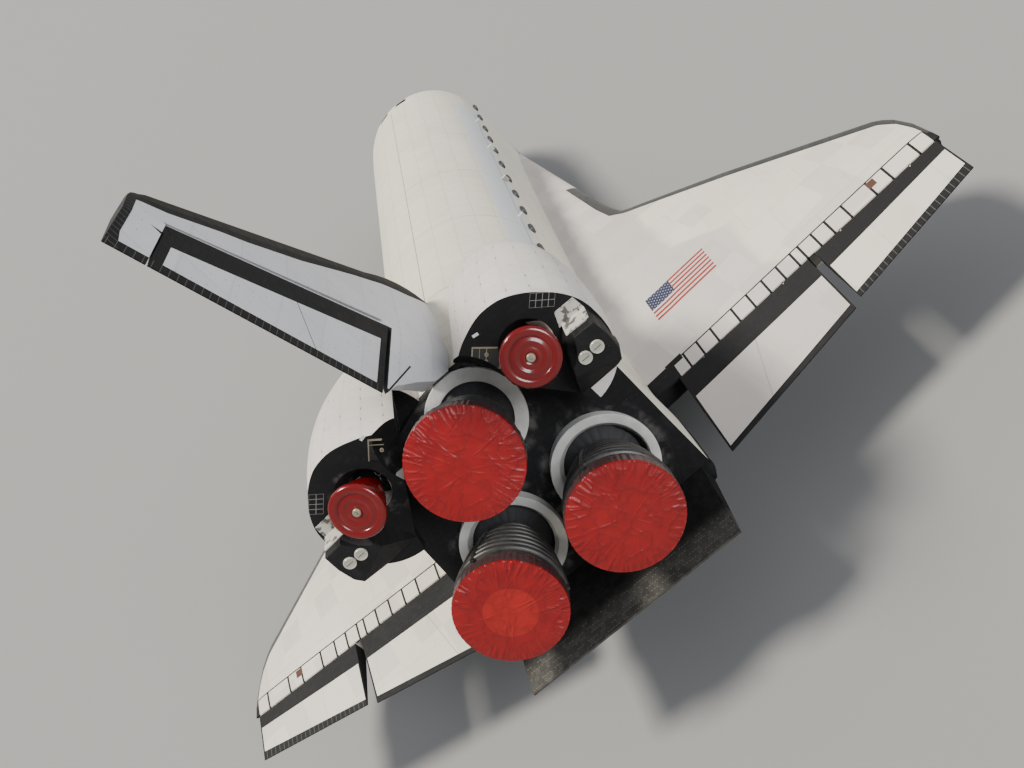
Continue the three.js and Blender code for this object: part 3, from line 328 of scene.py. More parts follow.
@dataclass(frozen=True)
class Engine:
    """An engine's gimbal point and thrust line, and the ring that it passes through.

    Fields:
        name: Which engine it is.
        gimbal: Its gimbal point.
        tilt: Degrees that its thrust line rises aft.
        turn: Degrees that its thrust line turns outboard.
        ring: How far aft of the gimbal the ring's face lies.
        throat: The ring's inner radius.
        recess: Radius of the room behind the ring.
        narrow: How far aft of the gimbal the room is narrowest.
        flare: How much wider the ring is at its face.
        dome: Degrees from the thrust line to which the dome shield reaches.
        outer: The ring's outer radius.
    """

    name: str
    gimbal: tuple[float, float, float]
    tilt: float
    turn: float
    ring: float = 0.0
    throat: float = 0.0
    recess: float = 0.0
    narrow: float = 0.0
    flare: float = 0.0
    dome: float = 0.0
    outer: float = 0.0

    def axis(self) -> Vector:
        """The direction of the thrust line, aft."""
        tilt, turn = math.radians(self.tilt), math.radians(self.turn)
        return Vector((math.sin(turn) * math.cos(tilt), math.cos(turn) * math.cos(tilt), math.sin(tilt)))

    def place(self) -> Matrix:
        """The frame whose y axis is the thrust line."""
        return stand(self.gimbal, self.axis())


ENGINES = (
    Engine("upper", (0, 1445, 443), 16, 0, 44, 34, 46, 44, 0, 41.7, 46.6),
    Engine("port", (53, 1468.17, 342.64), 10, 3.5, 54, 36, 55, 50.9, 3.4, 44.7, 49.6),
    Engine("starboard", (-53, 1468.17, 342.64), 10, -3.5, 54, 36, 55, 50.9, 3.4, 44.7, 49.6))
POD_ENGINES = (
    Engine("port", (88, 1518, 492), 15.8, 6.5),
    Engine("starboard", (-88, 1518, 492), 15.8, -6.5))


def operator(operation: str, swapped: bool = False) -> Callable[..., "Value"]:
    """Makes an operator of Value.

    Args:
        operation: Blender's name of the operation.
        swapped: Whether the other number comes first.

    Returns:
        A method that adds a Math node on its numbers.
    """
    def method(*values: "Number") -> "Value":
        return values[0].shader.math(operation, *(values[::-1] if swapped else values))

    return method


class Value:
    """A shader number that adds Math nodes when it is used in an expression.

    A comparison gives 1 where it holds and 0 elsewhere. Masks are joined by & and |, and turned by ~.
    """

    def __init__(self, shader: "Shader", socket: bpy.types.NodeSocket) -> None:
        """Wraps an output socket of a shader's node."""
        self.shader, self.socket = shader, socket

    __add__ = __radd__ = operator("ADD")
    __sub__, __rsub__ = operator("SUBTRACT"), operator("SUBTRACT", swapped=True)
    __mul__ = __rmul__ = operator("MULTIPLY")
    __truediv__, __pow__, __abs__ = operator("DIVIDE"), operator("POWER"), operator("ABSOLUTE")
    __gt__, __lt__ = operator("GREATER_THAN"), operator("LESS_THAN")
    __and__, __or__ = operator("MINIMUM"), operator("MAXIMUM")

    def __neg__(self) -> "Value":
        """Negative."""
        return self * -1.0

    def __invert__(self) -> "Value":
        """The mask turned round."""
        return 1 - self


Number = Value | float
# Colour, roughness and height of a surface
Surface = tuple[Value, Value, Value]


class Shader:
    """One material's nodes: station coordinates, maths, noise and the shader at the end."""

    def __init__(self, name: str, craft: Craft) -> None:
        """Starts an empty material whose coordinates are the craft's station inches."""
        self.material = bpy.data.materials.new(name)
        self.material.use_nodes = True
        self.tree = self.material.node_tree
        self.tree.nodes.clear()
        coordinates = self.tree.nodes.new("ShaderNodeTexCoord")
        self.facing = self.split(coordinates.outputs["Normal"])
        self.station = self.node("ShaderNodeMapping", {"vector_type": "TEXTURE"}, {
            "Vector": Value(self, coordinates.outputs["Object"]), "Location": tuple(craft.origin),
            "Rotation": (craft.pitch, 0, 0), "Scale": (INCH, INCH, INCH)})
        self.x, self.y, self.z = self.split(self.station.socket)
        self.across = abs(self.x)

    def node(self, kind: str, settings: dict | None = None, inputs: dict | None = None,
             output: int | str = 0) -> Value:
        """Adds a node.

        Args:
            kind: Blender's name of the node type.
            settings: The node's own settings, set first.
            inputs: Values or links of its sockets, by name or number.
            output: Which output is returned.

        Returns:
            That output.
        """
        node = self.tree.nodes.new(kind)
        for key, value in (settings or {}).items():
            setattr(node, key, value)
        for key, value in (inputs or {}).items():
            if isinstance(value, Value):
                self.tree.links.new(value.socket, node.inputs[key])
            else:
                node.inputs[key].default_value = value
        return Value(self, node.outputs[output])

    def split(self, socket: bpy.types.NodeSocket) -> tuple[Value, Value, Value]:
        """The three numbers of a vector."""
        node = self.tree.nodes.new("ShaderNodeSeparateXYZ")
        self.tree.links.new(socket, node.inputs[0])
        return tuple(Value(self, out) for out in node.outputs)

    def math(self, operation: str, *values: Number) -> Value:
        """A Math node on values."""
        return self.node("ShaderNodeMath", {"operation": operation}, dict(enumerate(values)))

    def vector_math(self, operation: str, inputs: dict, output: int | str = 0) -> Value:
        """A Vector Math node, with its inputs by number or name."""
        return self.node("ShaderNodeVectorMath", {"operation": operation}, inputs, output)

    def floor(self, value: Number) -> Value:
        """The whole number below."""
        return self.math("FLOOR", value)

    def to_line(self, value: Number, pitch: float) -> Value:
        """Distance to the nearest multiple of a pitch."""
        return self.math("PINGPONG", value, pitch / 2)

    def seams(self, u: Value, v: Value, pitch: Pair, width: float) -> Value:
        """1 on the lines of a grid, else 0."""
        return (self.to_line(u, pitch[0]) < width / 2) | (self.to_line(v, pitch[1]) < width / 2)

    def between(self, value: Value, low: Number, high: Number) -> Value:
        """1 between two limits, else 0."""
        return (value > low) & (value < high)

    def polyline(self, value: Value, points: Sequence[Pair]) -> Value:
        """A line of straight stretches through points, level beyond its ends."""
        total: Number = points[0][1]
        slope = 0.0
        for (x0, y0), (x1, y1) in zip(points, points[1:]):
            new = (y1 - y0) / (x1 - x0)
            total = total + self.math("MAXIMUM", value - x0, 0.0) * (new - slope)
            slope = new
        return total - self.math("MAXIMUM", value - points[-1][0], 0.0) * slope

    def blend(self, factor: Number, a: Number, b: Number) -> Value:
        """Number a, or b where the factor is 1."""
        return self.node("ShaderNodeMix", {"data_type": "FLOAT"}, {0: factor, 2: a, 3: b}, 0)

    def vector(self, x: Number, y: Number, z: Number = 0.0) -> Value:
        """Three numbers as a vector."""
        return self.node("ShaderNodeCombineXYZ", {}, {0: x, 1: y, 2: z})

    def about(self, origin: Sequence[float], axis: Vector) -> tuple[Value, Value]:
        """How far along a line each point lies, and how far from it."""
        offset = self.vector_math("SUBTRACT", {0: self.station, 1: tuple(origin)})
        along = self.vector_math("DOT_PRODUCT", {0: offset, 1: tuple(axis)}, "Value")
        side = self.vector_math("CROSS_PRODUCT", {0: offset, 1: tuple(axis)})
        return along, self.vector_math("LENGTH", {0: side}, "Value")

    def random(self, u: Number, v: Number) -> Value:
        """A random number from 0 to 1 for each pair of whole numbers."""
        inputs = {"Vector": self.vector(u, v)}
        return self.node("ShaderNodeTexWhiteNoise", {"noise_dimensions": "2D"}, inputs, "Value")

    def noise(self, size: float, detail: float = 3.0, stretch: Colour = (1, 1, 1)) -> Value:
        """Noise from 0 to 1 with spots of about a size in inches."""
        vector = self.vector_math("MULTIPLY", {0: self.station, 1: stretch})
        return self.node("ShaderNodeTexNoise", {}, {"Vector": vector, "Scale": 1 / size, "Detail": detail})

    def ease(self, value: Value, low: float, high: float) -> Value:
        """A smooth step from 0 at low to 1 at high."""
        return self.node("ShaderNodeMapRange", {"interpolation_type": "SMOOTHSTEP"},
                         {"Value": value, "From Min": low, "From Max": high})

    def mix(self, factor: Number, a: Value | Colour, b: Value | Colour) -> Value:
        """Colour a, or b where the factor is 1."""
        a, b = (tone if isinstance(tone, Value) else (*tone, 1) for tone in (a, b))
        return self.node("ShaderNodeMix", {"data_type": "RGBA"}, {0: factor, 6: a, 7: b}, 2)

    def shade(self, colour: Value | Colour, share: Number) -> Value:
        """A colour made lighter or darker."""
        return self.vector_math("SCALE", {0: colour, "Scale": share})

    def finish(self, base: Value | Colour, roughness: Number, metallic: Number = 0.0,
               height: Value | None = None, depth: float = 0.001, **constants: float) -> bpy.types.Material:
        """Ends the material in a Principled shader.

        Args:
            base: Base colour.
            roughness: Roughness.
            metallic: Metallic.
            height: Bump height from 0 to 1.
            depth: What a height of 1 stands for, in metres.
            constants: Other sockets, with spaces as underscores.

        Returns:
            The material.
        """
        inputs = {"Base Color": base if isinstance(base, Value) else (*base, 1), "Roughness": roughness,
                  "Metallic": metallic}
        if height is not None:
            bump = {"Strength": 1.0, "Distance": depth, "Height": height}
            inputs["Normal"] = self.node("ShaderNodeBump", {}, bump)
        inputs.update({key.replace("_", " "): value for key, value in constants.items()})
        surface = self.node("ShaderNodeBsdfPrincipled", {}, inputs)
        output = self.tree.nodes.new("ShaderNodeOutputMaterial")
        self.tree.links.new(surface.socket, output.inputs["Surface"])
        return self.material

    def both(self, where: Value, first: Surface, second: Surface, depth: float,
             specular: float = 0.5) -> bpy.types.Material:
        """Ends the material in one surface, and in a second one where a mask is 1.

        Args:
            where: The mask.
            first: The surface elsewhere.
            second: The surface under the mask.
            depth: What a height of 1 stands for, in metres.
            specular: Specular level.

        Returns:
            The material.
        """
        base = self.mix(where, first[0], second[0])
        rough, height = (self.blend(where, a, b) for a, b in zip(first[1:], second[1:]))
        return self.finish(base, rough, 0.0, height, depth, Specular_IOR_Level=specular)


WHITE_CLOTH: Colour = (0.79, 0.745, 0.64)
WHITE_WING: Colour = (0.78, 0.735, 0.645)
# Darker pinkish grey of the painted shadow on the inner starboard wing
SHADOW_ON_WING: Colour = (0.60, 0.56, 0.53)
WHITE_FIN: Colour = (0.70, 0.71, 0.74)
BLACK_TILE: Colour = (0.010, 0.010, 0.011)
# Side of a tile, and width of the gap between two, in inches
TILE, TILE_GAP = 6.0, 0.22


@dataclass(frozen=True)
class Finish:
    """A look that a material gives to pieces."""

    name: str

    def make(self, s: Shader) -> bpy.types.Material:
        """Builds the nodes of the look on an empty shader."""
        raise NotImplementedError


def tiles(s: Shader, plane: Plane, colour: Colour = BLACK_TILE, spread: float = 0.35) -> Surface:
    """Square tiles with thin gaps and a tone of their own.

    Args:
        s: The shader.
        plane: The plane that the grid is drawn on.
        colour: The tiles' colour.
        spread: How much tones differ.

    Returns:
        The tiles' surface.
    """
    u, v = (getattr(s, axis) for axis in plane.value)
    row = s.floor(v / TILE)
    u = u + row * (TILE / 2)
    gap = s.seams(u, v, (TILE, TILE), TILE_GAP)
    tone = s.random(s.floor(u / TILE), row)
    soil = s.noise(55, 4)
    shade = 1 - spread / 2 + tone * spread + (soil - 0.5) * 0.5
    surface = s.mix(gap, s.shade(colour, shade), s.shade(colour, 0.35))
    speck = s.ease(s.noise(1.3, 2), 0.74, 0.80)
    surface = s.mix(speck * 0.5, surface, (0.34, 0.33, 0.31))
    return surface, 0.58 + tone * 0.12 + soil * 0.2, (1 - gap) * 0.8 + s.noise(3, 2) * 0.2


def quilt(s: Shader, colour: Colour, u: Value, v: Value, panel: Pair, lines: float = 0.4) -> Surface:
    """Quilted blankets in panels with faint seams and a little painted shade beside the seams.

    Args:
        s: The shader.
        colour: The cloth's colour.
        u: First coordinate of the panels, in inches.
        v: Second coordinate.
        panel: Width and height of a panel.
        lines: How clearly the seams show, from 0 to 1.

    Returns:
        The blankets' surface.
    """
    row = s.floor(v / panel[1])
    u = u + row * (panel[0] * 0.37)
    seam = s.seams(u, v, panel, 0.5)
    # near: slightly darker close to the seams, painted shade where the blanket dips
    near = 1 - s.ease(s.to_line(u, panel[0]) & s.to_line(v, panel[1]), 0.2, 2.5)
    tone = s.random(s.floor(u / panel[0]), row)
    soil = s.noise(70, 5, (1, 0.5, 1.6))
    fine = s.noise(9, 4)
    shade = 0.95 + tone * 0.055 + (soil - 0.5) * 0.16 + (fine - 0.5) * 0.06 - near * 0.03
    stitch = s.ease(s.to_line(u, 1.0) & s.to_line(v, 1.0), 0.02, 0.3)
    grime = s.ease(s.noise(24, 6, (1, 0.6, 1)), 0.60, 0.80)
    surface = s.mix(seam * lines, s.shade(colour, shade), s.shade(colour, 0.5))
    surface = s.mix(grime * 0.16, surface, (0.34, 0.30, 0.25))
    return surface, 0.72 + soil * 0.2, (1 - seam) * 0.55 + stitch * 0.25 + fine * 0.2


# Upper edge of the black tiles on the sides: station and height
TILE_LINE = ((262, 420), (276, 352), (300, 338), (360, 322), (450, 308), (520, 300), (1540, 296))


@dataclass(frozen=True)
class HullFinish(Finish):
    """Blankets above and black tiles below, with the dark frame of the windshield and a painted reflection
    along the door sills.

    Fields:
        doors: Whether the panel joints of the payload doors are drawn.
    """

    doors: bool = False

    def make(self, s: Shader) -> bpy.types.Material:
        """Builds blankets, tiles, the line between them and the windshield's surround."""
        up = s.z - ROUND_AXIS
        around = s.math("ARCTAN2", up, s.across)
        unrolled = s.math("ARCTAN2", s.x, up) * HULL_HALF
        cloth, rough, height = quilt(s, WHITE_CLOTH, s.y, unrolled, (30.0, 26.0))
        # Cool silvery band with lower roughness along the doors' lower edges: a painted reflection
        painted_sheen = s.between(around, math.radians(10), math.radians(31)) & s.between(s.y, 560, 1296)
        cloth = s.mix(painted_sheen * 0.85, cloth, (0.70, 0.73, 0.78))
        rough = s.blend(painted_sheen, rough, 0.34 + s.noise(20, 3) * 0.12)
        surround = s.between(s.y, 365, 428 - (s.z - 400) * 0.08) & (s.z > 391 + abs(s.y - 400) * 0.1)
        dark = (s.z < s.polyline(s.y, TILE_LINE)) | surround
        middle = (s.across < 0.45) & (s.y > 520) & (s.z > 470)
        cloth = s.mix(middle * 0.75, cloth, (0.17, 0.15, 0.12))
        bulkhead = s.shade((0.50, 0.52, 0.47), 0.85 + s.noise(20, 3) * 0.3)
        cloth = s.mix(s.facing[1] > 0.96, cloth, bulkhead)
        if self.doors:
            joint = s.to_line(s.y - 580, 181.0) < 0.5
            cloth = s.mix(joint * 0.6, cloth, (0.20, 0.18, 0.15))
        return s.both(dark, (cloth, rough, height), tiles(s, Plane.SIDE), 0.004)


@dataclass(frozen=True)
class TileFinish(Finish):
    """Black tiles on one plane."""

    plane: Plane

    def make(self, s: Shader) -> bpy.types.Material:
        """Builds the tiles."""
        surface, rough, height = tiles(s, self.plane, spread=0.5)
        streak = s.ease(s.noise(16, 5, (1, 1, 0.35)), 0.58, 0.8)
        return s.finish(s.mix(streak * 0.14, surface, (0.12, 0.12, 0.125)), rough, 0.0, height, 0.003,
                        Specular_IOR_Level=0.3)


@dataclass(frozen=True)
class FlapFinish(Finish):
    """Dark tiles that pale towards the trailing edge, with rows of chalky marks."""

    def make(self, s: Shader) -> bpy.types.Material:
        """Builds the tiles and the paler trailing rows."""
        surface, rough, height = tiles(s, Plane.PLAN, (0.014, 0.0135, 0.013), 0.5)
        pale = s.ease(s.y + (s.noise(18, 4) - 0.5) * 10, 1578, 1600)
        dusty, _, _ = tiles(s, Plane.PLAN, (0.085, 0.081, 0.073), 0.4)
        surface = s.mix(pale * 0.8, surface, dusty)
        chance = s.random(s.floor(s.x / 3 + 0.5), s.floor(s.y / TILE + 0.5))
        mark = (s.to_line(s.y, TILE) < 0.35) & (s.to_line(s.x, 3.0) < 0.9) & (s.y > 1586) & (chance > 0.45)
        surface = s.mix(mark * 0.45, surface, (0.30, 0.29, 0.27))
        smear = s.ease(s.noise(30, 5, (1, 0.4, 1)), 0.55, 0.8)
        return s.finish(s.mix(smear * 0.12, surface, (0.10, 0.095, 0.09)), rough + 0.15, 0.0, height, 0.0015,
                        Specular_IOR_Level=0.12)


# Edges of the white squares ahead of the elevons, in inches from the centre line
SQUARE_BARS = (138, 157, 175, 194, 222, 242, 262, 281, 299, 309, 326, 343, 364, 394, 414, 446, 463)
# Where the inboard and outboard elevons meet, in inches from the centre line
ELEVON_SPLIT = 312.5


@dataclass(frozen=True)
class WingFinish(Finish):
    """White sheet above with squares, black bands and borders, and black tiles below; with the flag, a
    striped panel and a painted shadow on the inner wing.
    """

    flag: bool = False

    def make(self, s: Shader) -> bpy.types.Material:
        """Builds the sheet, the hinge row, the elevons' borders, the striped panel, the painted shadow and
        the tiles.
        """
        x, y = s.across, s.y
        sheet, rough, height = quilt(s, WHITE_WING, s.x, s.y, (74.0, 52.0), 0.2)
        if self.flag:
            # Painted shadow of the pod on the inboard part of the starboard wing, darker and pinker
            border = s.polyline(y, [(1120, 205), (1226, 220), (1267, 276), (1350, 276), (1388, 314)])
            painted_shadow = 1 - s.ease(x - border - (s.noise(40, 2) - 0.5) * 8, -8, 6)
            sheet = s.mix(painted_shadow, sheet, s.shade(SHADOW_ON_WING, 0.9 + s.noise(60, 3) * 0.2))
        patch = s.random(s.floor((s.x + y * 0.2) / 31), s.floor((y - s.x * 0.1) / 43))
        sheet = s.mix((patch > 0.8) * 0.22, sheet, (0.82, 0.78, 0.73))
        sheet = s.mix((patch < 0.25) * 0.3, sheet, (0.50, 0.46, 0.44))
        scuff = s.ease(s.noise(9, 6, (1, 0.4, 1)), 0.66, 0.78)
        sheet = s.mix(scuff * 0.25, sheet, (0.42, 0.38, 0.35))
        row = s.between(y, 1364.5, 1386.5) & s.between(x, 136, 464)
        bars = y < 1366.2
        for edge in SQUARE_BARS:
            bars = bars | (abs(x - edge) < 1.25)
        brown = s.between(x, 393, 402) & s.between(y, 1367, 1376) & (s.facing[2] > 0)
        root = (s.between(x, 134, 155) & s.between(y, 1362, 1369.5)) | ((x < 143) & (y > 1364))
        inner = x < ELEVON_SPLIT
        panel_front = s.blend(inner, 1413 - (x - 326) * 0.075, 1418.5 - (x - 150) * 0.03)
        band = s.blend(inner, 1459.3 - (x - 325.5) * 0.195, 1491 - (x - 148) * 0.183)
        side = (abs(x - ELEVON_SPLIT) < 6.0) | (x < 142.6) | (abs(x - 463) < 1.6)
        aft = (y > 1386.5) & ((y < panel_front) | (y > band) | side)
        black, black_rough, black_height = tiles(s, Plane.PLAN)
        lines = (y > band) & (s.to_line(s.x, 6.2) < 0.28) & (x > 312)
        black = s.mix(lines, black, (0.11, 0.11, 0.105))
        seam = s.between(y, 1387, 1500) & s.between(abs(x - 219 + (y - 1425) * 0.31), 0, 0.5)
        sheet = s.mix(seam * 0.5, sheet, (0.25, 0.23, 0.21))
        dark = (row & bars) | aft | root | (x > 463.4) | (s.facing[2] < -0.12)
        surface = s.mix(brown, s.mix(dark, sheet, black), (0.10, 0.045, 0.03))
        if self.flag:
            surface = self.panel(s, surface)
        return s.finish(surface, s.blend(dark, rough, black_rough), 0.0,
                        s.blend(dark, height, black_height), 0.003, Specular_IOR_Level=0.35)

    def panel(self, s: Shader, under: Value) -> Value:
        """A plain striped panel with a blue corner on the starboard wing."""
        x, y = -s.x, s.y
        fore, aft, near, far = 1266.3, 1305.6, 157.0, 239.0
        stripes, corner_stripes, corner, columns, rows = 13, 7, 33, 6, 9
        inside = s.between(y, fore, aft) & s.between(x, near, far) & (s.facing[2] > 0)
        stripe = s.math("MODULO", (y - fore) / (aft - fore) * stripes, 2.0) < 1.0
        colours = s.mix(stripe, (0.62, 0.57, 0.52), (0.30, 0.035, 0.035))
        depth = (aft - fore) * corner_stripes / stripes
        canton = (x < near + corner) & (y < fore + depth)
        u, v = (x - near) / corner * columns, (y - fore) / depth * rows
        shift = s.math("MODULO", s.floor(v), 2.0) * 0.5
        wide, high = (s.math("FRACT", u + shift) - 0.5) * 5.5, (s.math("FRACT", v) - 0.5) * 2.35
        dot = s.math("SQRT", wide * wide + high * high) < 0.8
        blue = s.mix(dot, (0.025, 0.031, 0.075), (0.34, 0.34, 0.37))
        return s.mix(inside, under, s.mix(canton, colours, blue))


# Width of the fin's black leading edge at some heights
FIN_EDGE = ((532, 30), (570, 22), (604, 23), (636, 28), (665, 33), (716, 32), (738, 28), (778, 26), (799, 19))


@dataclass(frozen=True)
class FinFinish(Finish):
    """White fin and rudder with black edges, hinge band and tile lines."""

    def make(self, s: Shader) -> bpy.types.Material:
        """Builds the white sides and their black borders."""
        y, z = s.y, s.z
        lead, hinge, tail = Tail.lead(z), Tail.hinge(z), Tail.tail(z)
        sheet, rough, height = quilt(s, WHITE_FIN, s.y, s.z, (48.0, 40.0), 0.2)
        slant = y - z * 0.7
        chance = s.random(s.floor(slant / 15 + 0.5), s.floor(z / 11 + 0.5))
        dash = (s.to_line(slant, 15.0) < 1.1) & (s.to_line(z, 11.0) < 0.22) & (chance > 0.55)
        sheet = s.mix(dash * 0.8, sheet, (0.25, 0.24, 0.23))
        width = s.polyline(z, FIN_EDGE)
        edge = y < lead + width
        tip = z > 800 - s.math("MAXIMUM", y - 1680, 0.0) * 0.2
        in_rudder = s.between(z, 575.2, 777.0)
        hinge_band = in_rudder & s.between(y, hinge - 1.4, hinge + 23.8)
        cross_bands = (s.between(z, 768, 777.5) | s.between(z, 571.5, 583.0)) & (y > hinge - 1)
        border = (y > tail - 9) & (z > 566)
        arrow = s.between(z, 777, 786.5) & (abs(y - 1646.2 + (786.5 - z) * 0.1) < (786.5 - z) * 0.17)
        slash = (abs(z - 547 - (y - 1520) * 0.357) < 0.8) & s.between(y, 1521, 1588)
        lines = (border & (s.to_line(z, TILE) < 0.25)) | (tip & (s.to_line(y, TILE) < 0.25))
        seam = (abs(z - 668 + (y - 1581) * 0.66) < 0.55) & (y > hinge + 22) & in_rudder
        dark = edge | tip | hinge_band | cross_bands | border | arrow | slash
        olive = edge & (y < lead + width * 0.55)
        black, black_rough, black_height = tiles(s, Plane.SIDE)
        black = s.mix(olive * 0.6, s.mix(lines, black, (0.10, 0.10, 0.098)), (0.040, 0.037, 0.028))
        sheet = s.mix(seam, sheet, (0.08, 0.08, 0.08))
        return s.both(dark, (sheet, rough, height), (black, black_rough, black_height), 0.003, 0.3)


@dataclass(frozen=True)
class PodFinish(Finish):
    """White skin with small dashes between tiles, and a black aft face."""

    def make(self, s: Shader) -> bpy.types.Material:
        """Builds the skin and the aft face."""
        around = s.math("ARCTAN2", s.across - 93, s.z - 470) * 60
        sheet, rough, height = quilt(s, (0.72, 0.68, 0.645), s.y, around, (19.0, 14.0), 0.12)
        pick = s.random(s.floor(s.y / 19 + 0.5), s.floor(around / 14 + 0.5))
        dash = (s.to_line(around, 14.0) < 0.35) & (s.to_line(s.y, 19.0) < 2.2) & (pick > 0.52)
        tick = (s.to_line(around + 7, 14.0) < 1.6) & (s.to_line(s.y + 9, 19.0) < 0.3) & (pick < 0.35)
        sheet = s.mix((dash | tick) * 0.8, sheet, (0.15, 0.13, 0.12))
        low_corner = (s.z < 438.5) & (s.x < -95)
        back = ((s.facing[1] > 0.6) | (s.y > 1551.4)) & ~low_corner
        under = (s.y > 1470) & (s.z < 443 + (94 - s.across) * 1.4) & (s.facing[2] < -0.2)
        swept = (s.y > 1500) & (s.facing[2] < 0.12) & (s.across < 104)
        black, black_rough, black_height = tiles(s, Plane.BACK)
        side, rise = s.across - 125, s.z - 537
        u, v = side * 0.695 - rise * 0.72, side * -0.67 - rise * 0.745
        outline = s.between(u, 0, 20) & s.between(v, 0, 12.4) & s.seams(u, v, (5.0, 6.2), 0.5)
        black = s.mix(outline & back, black, (0.26, 0.26, 0.25))
        _, away = s.about((90, 1545, 500), FORWARD)
        smoke = s.ease(s.noise(12, 5), 0.5, 0.75) * (1 - s.ease(abs(away - 24), 4, 16))
        black = s.mix(smoke * 0.35, black, (0.24, 0.22, 0.20))
        return s.both(back | under | swept, (sheet, rough, height), (black, black_rough, black_height),
                      0.003, 0.25)


@dataclass(frozen=True)
class CarbonFinish(Finish):
    """Dark grey moulded edge panels with a thin joint every so often."""

    across: bool = True
    pitch: float = 17.0

    def make(self, s: Shader) -> bpy.types.Material:
        """Builds the panels, their joints and chalky marks."""
        run = s.across + s.y * 0.35 if self.across else s.y
        joint = s.to_line(run, self.pitch) < 0.35
        tone = s.random(s.floor(run / self.pitch + 0.5), 1.0)
        chalk = s.ease(s.noise(10, 5), 0.5, 0.85)
        base = s.mix(chalk * 0.35, s.shade((0.040, 0.040, 0.038), 0.8 + tone * 0.4), (0.12, 0.115, 0.10))
        return s.finish(s.mix(joint, base, (0.012, 0.012, 0.012)), 0.42 + chalk * 0.3, 0.0,
                        (1 - joint) * 0.8 + s.noise(2.5, 3) * 0.2, 0.003, Coat_Weight=0.15)


@dataclass(frozen=True)
class MetalFinish(Finish):
    """Bare or painted metal with small wear."""

    colour: Colour
    rough: float = 0.4
    metallic: float = 0.7
    grain: float = 6.0

    def make(self, s: Shader) -> bpy.types.Material:
        """Builds the metal."""
        wear = s.noise(self.grain, 6)
        spots = s.ease(s.noise(self.grain * 0.3, 3), 0.62, 0.8)
        worn = s.mix(spots * 0.4, self.colour, tuple(c * 0.45 for c in self.colour))
        base = s.shade(worn, 0.85 + wear * 0.3)
        return s.finish(base, self.rough + (wear - 0.5) * 0.2, self.metallic, wear, 0.0006)


@dataclass(frozen=True)
class NozzleFinish(Finish):
    """Heat-stained dark metal with fine tubes along the bell."""

    def make(self, s: Shader) -> bpy.types.Material:
        """Builds the stains."""
        stain = s.noise(14, 5)
        soot = s.ease(s.noise(5, 4), 0.45, 0.75)
        base = s.mix(stain, (0.020, 0.019, 0.019), (0.085, 0.082, 0.078))
        base = s.mix(soot * 0.5, base, (0.014, 0.014, 0.014))
        return s.finish(base, 0.26 + stain * 0.25, 0.35, s.noise(1.6, 4), 0.0012)


@dataclass(frozen=True)
class ClothFinish(Finish):
    """Coated red cloth over an engine's mouth, with a round middle panel, painted shade along its folds and a
    hem darkened by painted shade.

    Fields:
        engine: The engine whose mouth it covers.
        middle: How clearly the middle panel stands out, from 0 to 1.
        mouth: How far aft of the gimbal the mouth lies.
    """

    engine: Engine
    middle: float = 0.15
    mouth: float = 161.0
    colour: Colour = (0.25, 0.0028, 0.0045)
    panel: float = 23.5

    def make(self, s: Shader) -> bpy.types.Material:
        """Builds the cloth, its panel, and the painted shade on its folds and hem."""
        along, away = s.about(self.engine.gimbal, self.engine.axis())
        turn = self.engine.place().to_3x3()
        right, _ = s.about(self.engine.gimbal, turn.col[0])
        up, _ = s.about(self.engine.gimbal, turn.col[2])
        rim = s.ease(away + (s.noise(30, 2) - 0.5) * 36, 24, 46)
        pull = self.ridge(s, s.vector(right / away * 5.5, up / away * 5.5, away * 0.03 + 7), 3.5) * rim
        cross = self.ridge(s, s.vector(right * 0.05, up * 0.05, right * 0.03 + 3), 3.0)
        fade = s.noise(26, 4)
        weave = s.to_line(s.x + s.z, 0.35) * 2 + s.to_line(s.x - s.z, 0.35) * 2
        base = s.mix((away < self.panel) * self.middle, self.colour, (0.36, 0.010, 0.007))
        base = s.mix((abs(away - self.panel) < 0.3) * (0.25 + self.middle * 0.4), base, (0.20, 0.006, 0.008))
        # The folds are darker: painted shade along the creases
        base = s.shade(base, 0.84 + fade * 0.32 - (pull | cross) * 0.2)
        # The hem that drapes over the lip is darkened almost to black: painted shade
        ragged = s.noise(6, 2) * 5 + s.noise(1.7, 2) * 1.5
        hem = 1 - s.ease(along - self.mouth + ragged, 1.9, 3.0)
        base = s.mix(hem * 0.94, base, s.shade((0.040, 0.026, 0.027), 0.6 + s.noise(2.5, 4)))
        height = pull * 0.5 + cross * 0.5 + s.noise(5, 4) * 0.10 + weave * 0.03
        return s.finish(base, 0.30 + fade * 0.12, 0.0, height, 0.022, Specular_IOR_Level=0.5)

    @staticmethod
    def ridge(s: Shader, where: Value, detail: float) -> Value:
        """Thin crisp ridges, from 0 to 1."""
        inputs = {"Vector": where, "Scale": 1.0, "Detail": detail, "Roughness": 0.4}
        wave = s.node("ShaderNodeTexNoise", {}, inputs)
        return (1 - abs(wave * 2 - 1)) ** 9.0


@dataclass(frozen=True)
class GlossFinish(Finish):
    """Smooth moulded or lacquered surface."""

    colour: Colour
    rough: float = 0.14
    coat: float = 0.6
    alpha: float = 1.0

    def make(self, s: Shader) -> bpy.types.Material:
        """Builds the lacquer with fine scratches."""
        haze = s.noise(7, 5)
        return s.finish(s.shade(self.colour, 0.88 + haze * 0.24), self.rough + (haze - 0.4) * 0.14, 0.0,
                        s.noise(1.2, 2), 0.0002, Coat_Weight=self.coat, Alpha=self.alpha)


@dataclass(frozen=True)
class RingFinish(Finish):
    """Pale grey flat ring in segments, brushed and a little stained."""

    def make(self, s: Shader) -> bpy.types.Material:
        """Builds the brushed grey."""
        stain = s.noise(9, 5)
        fine = s.noise(1.4, 3)
        base = s.shade((0.72, 0.71, 0.68), 0.72 + stain * 0.42 + (fine - 0.5) * 0.12)
        return s.finish(base, 0.45 + stain * 0.2, 0.1, fine, 0.0006)


